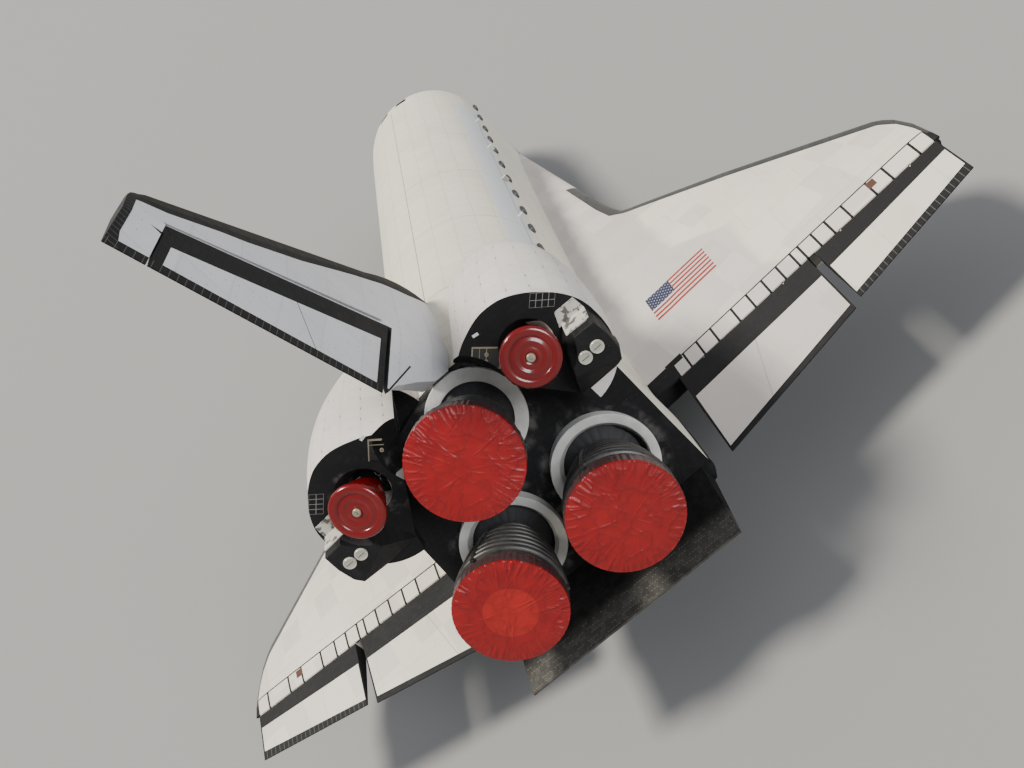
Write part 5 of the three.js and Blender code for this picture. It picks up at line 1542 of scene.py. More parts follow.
@dataclass
class Pod:
    """A manoeuvring pod: skin, aft face, nozzle, plug, thruster covers and an access panel.

    Fields:
        hull: The fuselage that the pod sits on.
        side: Port or starboard.
        engine: The pod's engine.
        rows: Station, middle across and in height, and half sizes across and in height.
        face: Top half of the aft face's outline, from outboard to inboard.
        nozzle_room: Section of the room round the pod's own nozzle.
        bell_room: Section of the room round the upper engine's bell.
        bell_swings: Tilt and turn of that bell where it comes nearest.
        flare: Distance from the gimbal and radius of the pod's own bell.
    """

    hull: Hull
    side: str
    engine: Engine
    rows: tuple = (
        (1310, 62, 477, 6, 8), (1314, 64.5, 478, 14, 15.5), (1326, 68, 481, 27, 26), (1350, 73, 484, 40, 38),
        (1390, 80, 486, 51, 50), (1440, 87, 487, 58, 58), (1490, 91, 487, 60.5, 62), (1530, 93, 487, 60, 64),
        (1552, 93, 487, 58, 62))
    face: tuple = ((151, 487), (148.5, 506), (142, 519), (131, 532), (118.5, 543), (104, 550.5), (86, 552.5),
                   (66, 547), (50, 539), (34, 528), (30, 505), (33, 487))
    nozzle_room: tuple = (
        (0, -8), (19, -8), (19, 28), (25.4, 40.5), (30.6, 54), (35.8, 59.6), (37, 90), (0, 90))
    bell_room: tuple = (
        (0, 40), (15.6, 40), (20.2, 52), (28.9, 68), (37.5, 93), (44.5, 124), (47.4, 146), (0, 146))
    bell_swings: tuple = ((15.8, 8.9), (21, 9.1), (26.2, 9.5), (26.4, 5))
    flare: tuple = ((13, 4.4), (29, 12), (44, 17.5), (58, 20.6), (68, 21.6))

    def build(self, shop: Workshop) -> None:
        """Makes every piece of the pod."""
        body, place = f"pod_nozzle_{self.side}", self.engine.place()
        shop.add(f"pod_skin_{self.side}", self.sided(self.skin()), POD_WHITE, "airframe", "tile_white",
                 [f"pod_{self.side}"])
        pieces = [*self.thruster_block(), *self.access_panel(), *self.marks()]
        for name, shape, finish, slot in pieces:
            shop.add(f"{name}_{self.side}", self.sided(shape), finish, "airframe", slot)
        bell = [(0, 6), (3.6, 6), (4.4, 13)]
        for d in np.arange(14, 67.6, 0.7):
            bell.append((self.radius(d) + 0.12 * abs(math.sin(d * 1.3)), float(d)))
        bell += [(22.0, 67.2), (22.0, 68.0), (0, 68.0)]
        shop.add(f"pod_bell_{self.side}", turned(bell, place, 72), NOZZLE, body, "nozzle_dark", [body], 40)
        self.plug(shop, body, place)
        shop.dress(f"pod_gimbal_{self.side}", STEEL)

    def radius(self, distance: float) -> float:
        """The pod bell's radius at a distance from its gimbal."""
        return smooth_curve(*zip(*self.flare), distance)

    def sided(self, shape: Shape) -> Shape:
        """A port shape on this pod's side."""
        return on_side(shape, self.side)

    def face_point(self, angle: float) -> Pair:
        """Where a ray at an angle about the pod's middle meets the aft face's outline, in its top half."""
        outline = np.array(self.face) - (93, 487)
        angles, radii = np.arctan2(outline[:, 1], outline[:, 0]), np.hypot(outline[:, 0], outline[:, 1])
        radius = float(np.interp(angle, angles, radii))
        return radius * math.cos(angle), radius * math.sin(angle)

    def skin(self) -> Shape:
        """The port pod's outer form, cut by what it sits on."""
        columns = list(zip(*self.rows))
        rings = []
        turns = np.linspace(0, 2 * math.pi, 96, endpoint=False)
        for y in (*np.linspace(1310, 1350, 12), *np.linspace(1355, 1548, 34), 1550.6, 1552):
            row = (smooth_curve(columns[0], column, min(float(y), 1548)) for column in columns[1:])
            across, height, wide, high = row
            lip = 0.6 if y > 1551 else 0.0
            share = float(np.clip((y - 1420) / 120, 0, 1)) ** 2
            ring = []
            for t in turns:
                c, s = math.cos(t), math.sin(t)
                x = (wide - lip) * math.copysign(abs(c) ** 0.9, c)
                z = (high - lip) * math.copysign(abs(s) ** 0.9, s)
                if z > 0:
                    near_x, near_z = self.face_point(math.atan2(z, x))
                    x, z = x + (near_x - x) * share, z + (near_z - z) * share
                ring.append((across + x, y, height + z))
            rings.append(ring)
        body = skin(np.array(rings))
        outline = [(-50, 643), (33, 528), (94, 443), (101, 421.7), (138, 436), (200, 460), (200, 100),
                   (-50, 100)]
        under = prism(outline, "y", 1466, 1700)
        return carve(body, [under, *self.rooms(), self.hull.solid(1300, 1540, 0.2, 30)], Join.CUT)

    def rooms(self) -> list[Shape]:
        """The rooms in which the pod's nozzle and the upper engine's bell swing, on the port side."""
        upper = ENGINES[0]
        rooms = [turned(self.nozzle_room, POD_ENGINES[0].place(), 72)]
        for tilt, turn in self.bell_swings:
            rooms.append(turned(self.bell_room, Engine("swung", upper.gimbal, tilt, turn).place(), 64))
        return rooms

    def thruster_block(self) -> list[tuple]:
        """The thruster block with its two covers and their handles: name, shape, finish and slot."""
        shared = [(149.5, 480), (148, 497), (125, 498.5)]
        fore = [(95, 440), (134, 438.8), (146, 452), *shared, (114, 486), (104, 468)]
        aft = [(107.5, 470.5), (143.5, 456), (148, 464), *shared, (116, 487), (111, 478.5)]
        housing = carve(self.tapered(fore, aft, (1540, 1552, 1581.4), 0.8), self.rooms(), Join.CUT)
        profile = [(0, 0), (4.9, 0), (5.7, 0.5), (5.7, 2.0), (5.2, 2.7), (4.5, 2.3), (0, 2.2)]
        spots = ((124.4, 478.8), (137.0, 479.4))
        covers = combined(turned(profile, stand((x, 1581.2, z), -FORWARD), 48) for x, z in spots)
        handles = combined(bar((x - 3.4, 1583.6, z), (x + 3.4, 1583.6, z), 0.35, 10) for x, z in spots)
        return [("thruster_housing", housing, BLACK_BACK, "tile_black"),
                ("thruster_covers", covers, CLEAR_COVER, "tile_white"),
                ("thruster_handles", handles, DARK_METAL, "tile_black")]

    def access_panel(self) -> list[tuple]:
        """The framed panel and its pane, without what the engines sweep: name, shape, finish and slot."""
        middle = (63.5, 521.5) if self.side == "starboard" else (55.0, 525.0)
        size = (11.5, 9.0) if self.side == "starboard" else (9.6, 8.0)
        lean = Matrix.Rotation(math.radians(46), 4, "Y")
        place = Matrix.Translation((middle[0], 1552, middle[1])) @ lean
        frame, pane = (carve(shape.moved(place), self.rooms(), Join.CUT) for shape in self.frame_panel(*size))
        return [("access_frame", frame, BRASSY, "gear_steel"),
                ("access_pane", pane, DARK_PANE, "window_black")]

    def marks(self) -> list[tuple]:
        """The pale patch over the thruster block and a small label: name, shape, finish and slot."""
        upright = [(121.6, 498.2), (127.6, 511.4), (146.2, 510.6), (147.2, 498.2)]
        flat = [(124.5, 498.3), (147.2, 497.2), (147.2, 498.4), (124.5, 499.3)]
        patch = combined([prism(upright, "y", 1551.6, 1552.4), prism(flat, "y", 1552, 1572)])
        across = 71 if self.side == "starboard" else 56
        place = Matrix.Translation((across, 1552.05, 542)) @ Matrix.Rotation(math.radians(10), 4, "Y")
        label = block((-2.6, 2.6), (-0.1, 0.12), (-1.3, 1.3)).moved(place)
        return [("pale_patch", patch, MOTTLED, "tile_white"), ("pod_label", label, WHITE_PAINT, "tile_white")]

    @staticmethod
    def tapered(fore: Sequence[Pair], aft: Sequence[Pair], stations: Sequence[float], rim: float) -> Shape:
        """A block along y between two outlines, with a bevelled aft rim."""
        middle = np.mean(np.array(aft), axis=0)
        drawn = [tuple(np.array(p) + (middle - p) * rim / math.hypot(*(middle - p))) for p in aft]
        start, widest, end = stations
        levels = ((start, fore), (widest, fore), (end - rim, aft), (end, drawn))
        return skin(np.array([[(x, y, z) for x, z in outline] for y, outline in levels]))

    @staticmethod
    def frame_panel(wide: float, high: float) -> tuple[Shape, Shape]:
        """A framed panel about the origin with a post, a latch and studs, and the dark pane behind."""
        deep = (-0.4, 1.2)
        bars = [block((-wide - 0.5, wide + 0.5), deep, (s * high - 0.5, s * high + 0.5)) for s in (-1, 1)]
        bars += [block((s * wide - 0.5, s * wide + 0.5), deep, (-high, high)) for s in (-1, 1)]
        bars += [block((-0.3, 0.3), (-0.4, 0.8), (-high, high)),
                 block((-wide * 0.5, -wide * 0.5 + 0.4), (-0.4, 0.5), (-high, high))]
        studs = [bar((a * wide, 1, b * high), (a * wide, 1.9, b * high), 0.9, 16)
                 for a in (-1, 0, 1) for b in (-1, 1)]
        ring = [(0.8, 0), (1.7, 0), (1.7, 1.4), (0.8, 1.4)]
        latch = [turned(ring, Matrix.Translation((0, 0.2, z)), 24, True) for z in (-high * 0.35, high * 0.35)]
        return combined([*bars, *studs, *latch]), block((-wide, wide), (-0.2, 0.1), (-high, high))

    def plug(self, shop: Workshop, body: str, place: Matrix) -> None:
        """The glossy red plug with rings, its metal hub and the red sleeve behind it."""
        profile = [(0, 69.4), (4.2, 69.4), (5.0, 70.0), (6.5, 70.2), (8.0, 69.6), (10.4, 69.5), (11.2, 70.3),
                   (13.4, 70.5), (14.4, 69.7), (16.6, 69.6), (17.4, 70.6), (20.2, 71.1), (22.6, 70.9),
                   (24.0, 69.9), (24.6, 68.6), (24.6, 65.4), (24.0, 64.6), (21.9, 64.6), (22.1, 68.2),
                   (0, 68.2)]
        shop.add(f"plug_{self.side}", turned(profile, place, 96), RED_GLOSS, body, "plug_red",
                 [f"pod_plug_{self.side}"], 50)
        boss = [(0, 69.2), (3.6, 69.2), (3.6, 71.0), (3.0, 71.6), (1.4, 71.7), (1.2, 71.2), (0, 71.2)]
        nut = [(0, 71.0), (1.0, 71.0), (1.0, 72.4), (0, 72.4)]
        hub = turned(boss, place, 40) + turned(nut, place, 6)
        shop.add(f"plug_hub_{self.side}", hub, BRASSY, body, "gear_steel")
        outer = [(self.radius(d) + 0.45 + 0.15 * math.sin(d), float(d)) for d in np.arange(27, 65.2, 1.2)]
        sleeve = [*outer, (22.4, 65.4), (21.7, 65.4), *((r - 0.35, d) for r, d in outer[::-1])]
        shop.add(f"plug_sleeve_{self.side}", turned(sleeve, place, 72, True), RED_GLOSS, body, "plug_red")


@dataclass
class Tail:
    """The fin, with the rudder's packed panels dressed to match.

    Fields:
        root: Height of the fin's foot.
        tip: Height of its tip.
        rudder: Heights between which the rudder lies.
        room: Outline round the hinge for an open panel's skin, in half thicknesses.
        foot: Heights and leading edge stations of the fillet at the foot.
        crown: Distance below the tip and leading edge's setback of the rounded tip.
    """

    root: float = 500.0
    tip: float = 806.0
    rudder: Pair = (576.0, 776.0)
    room: tuple = ((0, 0.2), (0, 1.1), (1.35, 0.6), (1.35, -0.02), (0.4, -0.02))
    foot: tuple = ((486, 1306), (505, 1307), (518, 1311), (530, 1317), (545, 1327.5), (560, 1341),
                   (575, 1358))
    crown: tuple = ((6, -4), (3, -0.5), (1, 3), (0, 8))

    @staticmethod
    def lead(z: Number) -> Number:
        """The leading edge's station at a height."""
        return 1280 + 1.08 * (z - 500)

    @staticmethod
    def hinge(z: Number) -> Number:
        """The hinge line's station at a height."""
        return 1441 + HINGE_SLOPE * (z - 500)

    @staticmethod
    def tail(z: Number) -> Number:
        """The trailing edge's station at a height."""
        return 1558 + 0.476 * (z - 500)

    def half(self, z: float) -> float:
        """Half the fin's thickness at its hinge line."""
        return 14 + (5.65 - 14) * (z - self.root) / (self.tip - self.root)

    def ring(self, z: float, lead: float | None = None) -> list:
        """A section of the fin with a round leading edge."""
        lead = self.lead(z) if lead is None else lead
        hinge, tail, half = self.hinge(z), self.tail(z), self.half(z)
        nose = [(2.3 * math.sin(t), lead + 3 * (1 - math.cos(t))) for t in np.linspace(0, math.pi / 2, 8)]
        side = [*nose[1:], (half * 0.62, lead + (hinge - lead) * 0.42), (half, hinge), (0.5, tail)]
        return [(0, lead, z), *((x, y, z) for x, y in side), *((-x, y, z) for x, y in side[::-1])]

    def along(self, distance: float) -> Vector:
        """A point of the hinge line at a distance from its foot."""
        return Vector((0, self.hinge(self.rudder[0]), self.rudder[0])) + HINGE_LINE * distance

    def open_room(self, length: float) -> Shape:
        """Room ahead of the hinge for the port panel's skin when it is turned fully out."""
        aft = -PORT.cross(HINGE_LINE)
        rings = []
        for distance in (-0.3, length + 0.3):
            foot = self.along(distance)
            half = self.half(foot.z)
            rings.append([tuple(foot - aft * (forward * half) + PORT * (across * half))
                          for across, forward in self.room])
        return skin(np.array(rings))

    def build(self, shop: Workshop) -> None:
        """Makes the fin and dresses the rudder."""
        rows = [self.ring(z, lead) for z, lead in self.foot]
        rows += [self.ring(z) for z in (590, 640, 690, 740, 796)]
        rows += [self.ring(self.tip - d, self.lead(self.tip) + k) for d, k in self.crown]
        length = (self.rudder[1] - self.rudder[0]) / HINGE_LINE.z
        low, high = self.rudder[0] - 3.2, self.rudder[1] + 1.4
        slab = prism([(self.hinge(low), low), (1800, low), (1800, high), (self.hinge(high), high)],
                     "x", -30, 30)
        teeth = [bar(self.along(-60), self.along(-0.32), 14.7, 48),
                 bar(self.along(length + 0.32), self.along(length + 60), 9.7, 48)]
        near, far = (self.half(self.along(end).z) + 0.32 for end in (0, length))
        cone = turned([(0, -0.3), (near, -0.3), (far, length + 0.3), (0, length + 0.3)],
                      stand(self.along(0), HINGE_LINE), 64)
        outline = [(1300, 300), (1700, 300), (1700, 621), (1600, 576.4), (1568.6, 562.4), (1556, 553.2),
                   (1536, 539.5), (1507.6, 517.0), (1470, 499.6), (1300, 492)]
        room = self.open_room(length)
        tools = [carve(slab, teeth, Join.CUT), cone, room, room.mirrored(), prism(outline, "x", -30, 30)]
        fin = carve(skin(np.array(rows)), tools, Join.CUT)
        shop.add("fin_skin", fin, FIN_WHITE, "airframe", "tile_white", ["vertical_fin"], 28)
        for side in ("port", "starboard"):
            shop.dress(f"rudder_panel_{side}", FIN_WHITE, 25)
        shop.dress("rudder_shaft", STEEL)


@dataclass
class Wing:
    """One wing with its moulded leading edge and elevons.

    Fields:
        hull: The fuselage that the wing grows out of.
        side: Port or starboard.
        hinge: Station of the elevons' hinge line.
        rows: Distance out, station and height of the nose, station and height of the highest point, and
            height of the lower skin.
        edge_inner: Inner line of the moulded edge, from above.
        edge_outer: Points outside the wing that close that zone.
        dihedral: Angle by which the wing rises outboard.
        brackets: Distances out of the hinge arms.
    """

    hull: Hull
    side: str
    hinge: float = 1387.0
    rows: tuple = (
        (104, 505, 299.7, 1148, 331.2, 268.4), (150, 795, 304, 1170, 329, 269.5),
        (176, 960, 309, 1185, 327, 271), (184, 1000, 310.8, 1193, 326.5, 271.5),
        (192, 1029, 312, 1200, 326, 272), (202, 1041, 312.3, 1206, 325.5, 272.7),
        (215, 1053, 312.5, 1213, 325, 273.5), (312, 1148, 313, 1270, 321, 281),
        (447, 1283, 309, 1350, 313, 290), (454, 1293, 308.3, 1355, 312, 291),
        (460, 1306, 307.5, 1360, 311, 292), (466, 1332, 306, 1372, 309, 294),
        (468.3, 1362, 304.5, 1384, 306, 297))
    edge_inner: tuple = ((146, 854), (167, 990), (177, 1036), (446, 1300), (457, 1322), (462, 1350),
                         (463.5, 1372))
    edge_outer: tuple = ((480, 1372), (500, 1200), (200, 854))
    dihedral: float = math.radians(3.5)
    brackets: tuple = (172, 276, 348, 432)

    def tail_z(self, x: float) -> float:
        """Height of the trailing edge."""
        return 271.3 + math.tan(self.dihedral) * x

    def top(self, x: float) -> float:
        """Height of the upper skin over the hinge."""
        return self.tail_z(x) + 9.85 - 0.0075 * x

    def low(self, x: float) -> float:
        """Height of the lower skin under the hinge."""
        return self.tail_z(x) - 11.5 + 0.0145 * (x - 140)

    def tail_y(self, x: float) -> float:
        """Station of the trailing edge."""
        return 1525.24 - 0.17733 * x

    def ring(self, x: float, columns: list) -> list:
        """A whole section, from the nose over the top to the trailing edge and back below."""
        nose, nose_z, peak, peak_z, low = (float(np.interp(x, columns[0], column)) for column in columns[1:])
        turns = np.linspace(0, math.pi / 2, 28) ** 1.35 / (math.pi / 2) ** 0.35
        front = [(nose + (peak - nose) * (1 - math.cos(t)), nose_z + (peak_z - nose_z) * math.sin(t))
                 for t in turns]
        top = [(peak + (self.hinge - peak) * s, peak_z - (peak_z - self.top(x)) * s**1.5)
               for s in np.linspace(0.1, 1, 10)]
        tail = [(self.tail_y(x), self.tail_z(x) + 0.6), (self.tail_y(x), self.tail_z(x) - 0.6)]
        reach = min(90, (peak - nose) * 0.5)
        low_curve = [(nose + reach * (1 - math.cos(t)), nose_z + (low - nose_z) * math.sin(t))
                     for t in turns[:0:-1]]
        under = [(self.hinge, self.low(x)), (peak + (self.hinge - peak) * 0.2, low), *low_curve]
        return [(x, y, z) for y, z in (*front, *top, *tail, *under)]

    def about_hinge(self, outline: Callable[[float], list[Pair]]) -> Shape:
        """A shape along the hinge line, from an outline aft and up of it for the local nose radius."""
        rings = []
        for x in (90, 480):
            axis_z = self.top(x) - 3
            rings.append([(x, self.hinge + aft, axis_z + up) for aft, up in outline(axis_z - self.low(x))])
        return skin(np.array(rings))

    def coves(self) -> list[Shape]:
        """The hollows in which the elevons' noses turn."""
        gap = 0.315
        return [
            self.about_hinge(lambda r: [
                (-0.375 * r, -r - 30), (-0.375 * r, -r * 0.94), *arc((0, 0), r + gap, 248, 180, 18),
                (-r - gap, 0.4), (0, 0.4), (150, 0.4), (150, -60)]),
            self.about_hinge(lambda r: [*arc((0, 0), 3 + gap, 70, 180, 12), (-2, -4), (30, -4), (30, 6)]),
            self.about_hinge(lambda r: [(-1.71 - gap, 2.4), (-1.71 - gap, 30), (200, 30), (200, 0), (3, 0)])]

    def build(self, shop: Workshop) -> None:
        """Makes the wing and its leading edge, and dresses the elevons."""
        columns = list(zip(*self.rows))
        stations = sorted({*(row[0] for row in self.rows), *np.linspace(230, 440, 12),
                           *np.linspace(116, 172, 6), 449, 451, 457, 463, 464.5, 467.3})
        whole = skin(np.array([self.ring(x, columns) for x in stations]))
        zone = prism([*self.edge_inner, *self.edge_outer], "z", 200, 400)
        grown = prism([(146 - 0.4, 854 - 0.4), *((x - 0.35, y + 0.35) for x, y in self.edge_inner[1:]),
                       (480, 1372.4), (500, 1200), (200, 853.6)], "z", 200, 400)
        well = block((100, 166), (1108, 1232), (255, 314))
        edge = on_side(carve(whole, [zone], Join.KEEP), self.side)
        tools = [grown, *self.coves(), well, self.hull.solid(1290, 1540, -0.02, 20)]
        panel = carve(whole, tools, Join.CUT) + combined(self.bracket(x) for x in self.brackets)
        finish = WING_FLAG if self.side == "starboard" else WING_WHITE
        shop.add(f"wing_skin_{self.side}", on_side(panel, self.side), finish, "airframe", "tile_white",
                 [f"wing_{self.side}"], 24)
        shop.add(f"wing_edge_{self.side}", edge, CARBON, "airframe", "edge_grey",
                 [f"leading_edge_{self.side}"], 40)
        for part in ("inboard", "outboard"):
            shop.dress(f"elevon_{part}_{self.side}", finish, 20)

    def bracket(self, x: float) -> Shape:
        """A hinge arm from the wing to an elevon's axis."""
        z = self.top(x) - 3
        fore = self.hinge - z + self.low(x) - 3
        arm = block((x - 0.8, x + 0.8), (fore, self.hinge + 1.2), (z - 1.2, z + 1.2))
        return arm + bar((x - 2.6, self.hinge, z), (x + 2.6, self.hinge, z), 0.75, 20)


@dataclass
class Gear:
    """Landing gear: struts, wheels with grooved tyres, and the doors of the wells."""

    nose_tyre: Pair = (16.0, 8.8)
    main_tyre: Pair = (22.25, 16.0)
    wells: tuple = (("nose", 17, 5, 322, 400, 24), ("main", 166, 8, 1112, 1228, 62))

    def build(self, shop: Workshop) -> None:
        """Makes wheels and struts and dresses the fork."""
        self.wheels(shop, "nose_wheels", NOSE_WHEELS, self.nose_tyre, 3.6, 1.9)
        self.nose_strut(shop)
        shop.dress("nose_gear_fork", STRUT)
        for side, sign in (("port", 1), ("starboard", -1)):
            middle = (MAIN_WHEELS[0] * sign, *MAIN_WHEELS[1:])
            self.wheels(shop, f"main_wheels_{side}", middle, self.main_tyre, 7.0, 2.8)
            self.main_strut(shop, side)
            self.doors(shop, side)

    def wheels(self, shop: Workshop, body: str, middle: Sequence[float], tyre: Pair, gap: float,
               shaft: float) -> None:
        """A pair of wheels on one axle.

        Args:
            shop: Makes the pieces.
            body: The body that turns.
            middle: The point between the wheels.
            tyre: Radius and width of a tyre.
            gap: Distance from the middle to a tyre's near side.
            shaft: Radius of the axle.
        """
        radius, width = tyre
        rim = radius * 0.55
        tyres, hubs = [], []
        for side in (-1, 1):
            place = stand((middle[0] + side * (gap + width / 2), *middle[1:]), PORT * side)
            tyres.append(turned(self.tyre_profile(radius, width, rim), place, 120, True))
            hubs.append(turned(self.hub_profile(rim, width, shaft), place, 72, True))
            spoke = block((rim * 0.42, rim * 0.8), (width * 0.17, width * 0.27), (-rim * 0.07, rim * 0.07))
            bolt = bar((rim * 0.33, width * 0.2, 0), (rim * 0.33, width * 0.31, 0), rim * 0.035, 6)
            for k in range(10):
                turn = place @ Matrix.Rotation(2 * math.pi * k / 10, 4, "Y")
                hubs += [spoke.moved(turn), bolt.moved(turn)]
        reach = gap + width / 2
        axle = bar((middle[0] - reach, *middle[1:]), (middle[0] + reach, *middle[1:]), shaft, 32)
        shop.add(f"{body}_tyres", combined(tyres), RUBBER, body, "tyre_black", [body], 30)
        shop.add(f"{body}_hubs", combined(hubs) + axle, STRUT, body, "gear_steel")

    @staticmethod
    def tyre_profile(radius: float, width: float, rim: float) -> list[Pair]:
        """A tyre's section with four tread grooves."""
        h = width / 2
        shoulder = [(rim + (radius * 0.8 - rim) * t, -h * (0.8 + 0.2 * math.sin(t * math.pi / 2)))
                    for t in np.linspace(0, 1, 6)]
        crown = [(radius - (radius * 0.2) * (1 - math.sin(t)) ** 1.2, -h * (0.52 + 0.48 * math.cos(t)))
                 for t in np.linspace(0.15, math.pi / 2, 8)]
        grooves = []
        for k in (-0.36, -0.12, 0.12, 0.36):
            grooves += [(radius, h * (k - 0.05)), (radius * 0.978, h * (k - 0.035)),
                        (radius * 0.978, h * (k + 0.035)), (radius, h * (k + 0.05))]
        other = [(r, -d) for r, d in (*shoulder, *crown)][::-1]
        return [*shoulder, *crown, *grooves, *other]

    @staticmethod
    def hub_profile(rim: float, width: float, shaft: float) -> list[Pair]:
        """A dished wheel's section inside its tyre."""
        seat = [(shaft, -0.5), (rim * 0.55, -0.5), (rim * 0.8, -0.72), (rim * 0.98, -0.8), (rim * 1.02, -0.8)]
        dish = [(rim * 1.02, 0.82), (rim * 0.97, 0.84), (rim * 0.93, 0.78), (rim * 0.88, 0.42),
                (rim * 0.5, 0.34), (rim * 0.42, 0.5), (shaft * 1.6, 0.62), (shaft, 0.62)]
        return [(r, width / 2 * d) for r, d in (*seat, *dish)]

    @staticmethod
    def upright(x: float, y: float) -> Matrix:
        """A frame at a point across and along whose y axis stands up."""
        return Matrix.Translation((x, y, 0)) @ Matrix.Rotation(math.radians(90), 4, "X")

    def nose_strut(self, shop: Workshop) -> None:
        """The nose leg with its drag brace and torque links."""
        x, y, _ = NOSE_WHEELS
        top = 325.9
        leg = [(0, 252), (4.4, 252), (4.8, 254), (4.8, 258), (4.2, 259), (4.2, 300), (4.6, 301), (4.6, top),
               (0, top)]
        hose = [(3.6, y + 3.4, 256), (4.4, y + 5, 272), (4.2, y + 4.6, 290), (3.2, y + 4, 310)]
        parts = [turned(leg, self.upright(x, y), 40),
                 bar((0, y - 4, 268), (0, 330, 318), 1.8), bar((-8, y - 2, 300), (0, 332, 317), 1.2),
                 bar((8, y - 2, 300), (0, 332, 317), 1.2), block((-5, 5), (322, 332), (314, top)),
                 block((-13, 13), (y - 2.5, y + 2.5), (318, top)),
                 bar((-3, y + 4.2, 262), (3, y + 4.2, 262), 1.3), pipe(hose, 0.5)]
        shop.add("nose_strut", combined(parts), STRUT, "airframe", "gear_steel", ["nose_gear_leg"])

    def main_strut(self, shop: Workshop, side: str) -> None:
        """A main leg with its braces, brake pack and hoses."""
        x, y, z = MAIN_WHEELS
        top = 313.9
        leg = [(0, z), (4.2, z), (4.2, 226), (5.6, 227), (6.2, 229), (6.2, 236), (5.6, 237), (5.6, 284),
               (6.2, 285), (6.2, 292), (5.6, 293), (5.6, top), (0, top)]
        hose = [(x + 5, y + 3, 200), (x + 7, y + 5, 226), (x + 6, y + 5, 262), (x + 5, y + 3, 300)]
        links = [block((x - 2.4, x + 2.4), (y - 15, y - 4), (low, low + 2.2)) for low in (204, 216)]
        links += [bar((x - 3.4, y - 14.4, 211), (x + 3.4, y - 14.4, 211), 1.5),
                  pipe([(x, y - 4.5, 196), (x, y - 14, 210)], 1.4, 14),
                  pipe([(x, y - 14, 212), (x, y - 5.5, 230)], 1.4, 14)]
        braces = [bar((x, y, 232), (x, y - 46, top - 4), 2.4),
                  block((x - 6, x + 6), (y - 52, y - 42), (top - 10, top)),
                  bar((x, y, 240), (x + 24, y, top - 5), 2.0),
                  block((x + 20, x + 28), (y - 4, y + 4), (top - 9, top)), pipe(hose, 0.6)]
        pack = bar((x - 6.4, y, z), (x + 6.4, y, z), 6.6, 48)
        shape = combined([turned(leg, self.upright(x, y), 48), pack, *links, *braces])
        shop.add(f"main_strut_{side}", on_side(shape, side), STRUT, "airframe", "gear_steel",
                 [f"main_gear_leg_{side}"])

    def doors(self, shop: Workshop, side: str) -> None:
        """The open doors of the nose and main wells, ribbed inside."""
        mouth = 268
        for name, wall, lean, start, end, drop in self.wells:
            x, low = wall - 2.012, mouth - drop
            panel = prism([(x, mouth), (x + 1.6, mouth), (x + lean + 1.6, low), (x + lean, low)],
                          "y", start, end)
            arms = [block((x, x + 2), (y, y + 4), (mouth - 1, mouth + 14)) for y in (start + 12, end - 16)]
            rib = [(x - 0.9, mouth - 2), (x + 0.4, mouth - 2), (x + lean + 0.2, low + 2),
                   (x + lean - 1.0, low + 2)]
            ribs = [prism(rib, "y", y, y + 1.2) for y in np.linspace(start + 4, end - 5, 7)]
            shape = combined([panel, *arms, *ribs])
            shop.add(f"{name}_well_door_{side}", on_side(shape, side), WHITE_PAINT, "airframe", "tile_white",
                     [f"{name}_gear_door_{side}"])


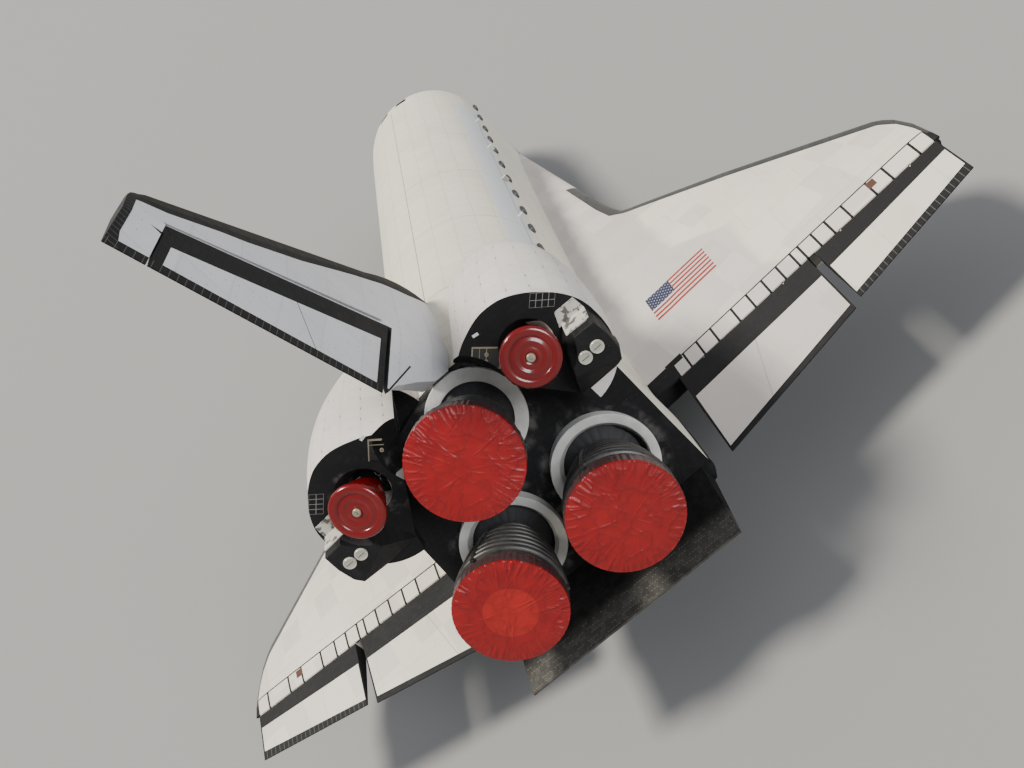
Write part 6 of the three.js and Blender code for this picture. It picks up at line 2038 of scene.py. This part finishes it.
@dataclass
class Studio:
    """Pale floor, soft lights and the camera of the photograph."""

    eye: tuple[float, float, float] = (-258.2, 2319.9, 865.1)
    forward: tuple[float, float, float] = (0.233, -0.875, -0.423)
    up: tuple[float, float, float] = (-0.646, -0.465, 0.605)
    lens: float = 38.25
    shift: Pair = (0.0111, 0.0026)

    def build(self, craft: Craft) -> None:
        """Makes the camera, the lights and the floor."""
        self.camera(craft)
        self.lights(craft)
        self.floor()

    def camera(self, craft: Craft) -> None:
        """Stands the camera where the photograph was taken."""
        data = bpy.data.cameras.new("camera")
        data.lens, data.sensor_width = self.lens, 36
        data.shift_x, data.shift_y = self.shift
        data.clip_start, data.clip_end = 0.5, 2000
        camera = bpy.data.objects.new("camera", data)
        bpy.context.scene.collection.objects.link(camera)
        forward = craft.direction(Vector(self.forward)).normalized()
        up = craft.direction(Vector(self.up))
        right = forward.cross(up).normalized()
        up = right.cross(forward)
        turn = Matrix((right, up, -forward)).transposed().to_4x4()
        camera.matrix_world = Matrix.Translation(craft.place(*self.eye)) @ turn
        bpy.context.scene.camera = camera

    def lights(self, craft: Craft) -> None:
        """A soft sky, a warm key from above and a cooler fill from the tail's starboard side."""
        world = bpy.data.worlds.new("sky")
        world.use_nodes = True
        world.node_tree.nodes["Background"].inputs[0].default_value = (0.90, 0.93, 1.0, 1)
        world.node_tree.nodes["Background"].inputs[1].default_value = 0.42
        bpy.context.scene.world = world
        for name, direction, colour, spread, power in (
                ("key", (0.30, 0.05, 1.0), (1.0, 0.94, 0.82), 14, 4.4),
                ("fill", (-0.75, 1.0, 0.55), (0.95, 0.97, 1.0), 24, 2.0),
                ("front", (0.5, -1.0, 0.6), (1.0, 0.96, 0.90), 35, 0.5)):
            data = bpy.data.lights.new(name, "SUN")
            data.angle, data.energy, data.color = math.radians(spread), power, colour
            light = bpy.data.objects.new(name, data)
            bpy.context.scene.collection.objects.link(light)
            light.location = craft.place(0, 1000, 1500)
            light.rotation_mode = "QUATERNION"
            light.rotation_quaternion = Vector(direction).to_track_quat("Z", "Y")

    def floor(self) -> None:
        """A wide pale floor that rises gently far away."""
        profile = [(0.0, 0.0), (160, 0.0), (240, 1.0), (330, 6.0), (430, 20.0), (540, 45.0), (660, 80.0),
                   (1000, 180.0)]
        place = Matrix.Rotation(-math.pi / 2, 4, "X")
        mesh = turned([(radius, -height) for radius, height in profile], place, 96).mesh("floor")
        mesh.polygons.foreach_set("use_smooth", [True] * len(mesh.polygons))
        material = bpy.data.materials.new("floor")
        material.use_nodes = True
        sockets = material.node_tree.nodes["Principled BSDF"].inputs
        sockets["Base Color"].default_value = (0.28, 0.28, 0.28, 1)
        sockets["Roughness"].default_value = 0.9
        mesh.materials.append(material)
        floor = bpy.data.objects.new("floor", mesh)
        bpy.context.scene.collection.objects.link(floor)


def save_sizes() -> None:
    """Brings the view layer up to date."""
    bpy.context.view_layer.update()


def main() -> None:
    """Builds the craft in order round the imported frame."""
    logging.basicConfig(level=logging.INFO, format="%(message)s")
    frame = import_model()
    craft = Craft.from_frame(frame)
    Studio().build(craft)
    shop = Workshop(frame, craft)
    hull = Hull()
    ForwardBody(hull).build(shop)
    MidBody(hull).build(shop)
    AftBody(hull).build(shop)
    for seed, engine in enumerate(ENGINES, start=3):
        MainEngine(engine, seed=seed).build(shop)
    for engine in POD_ENGINES:
        Pod(hull, engine.name, engine).build(shop)
    Tail().build(shop)
    for side in ("port", "starboard"):
        Wing(hull, side).build(shop)
    shop.dress("body_flap", FLAP_TILES)
    Gear().build(shop)
    save_sizes()


if __name__ == "__main__":
    main()
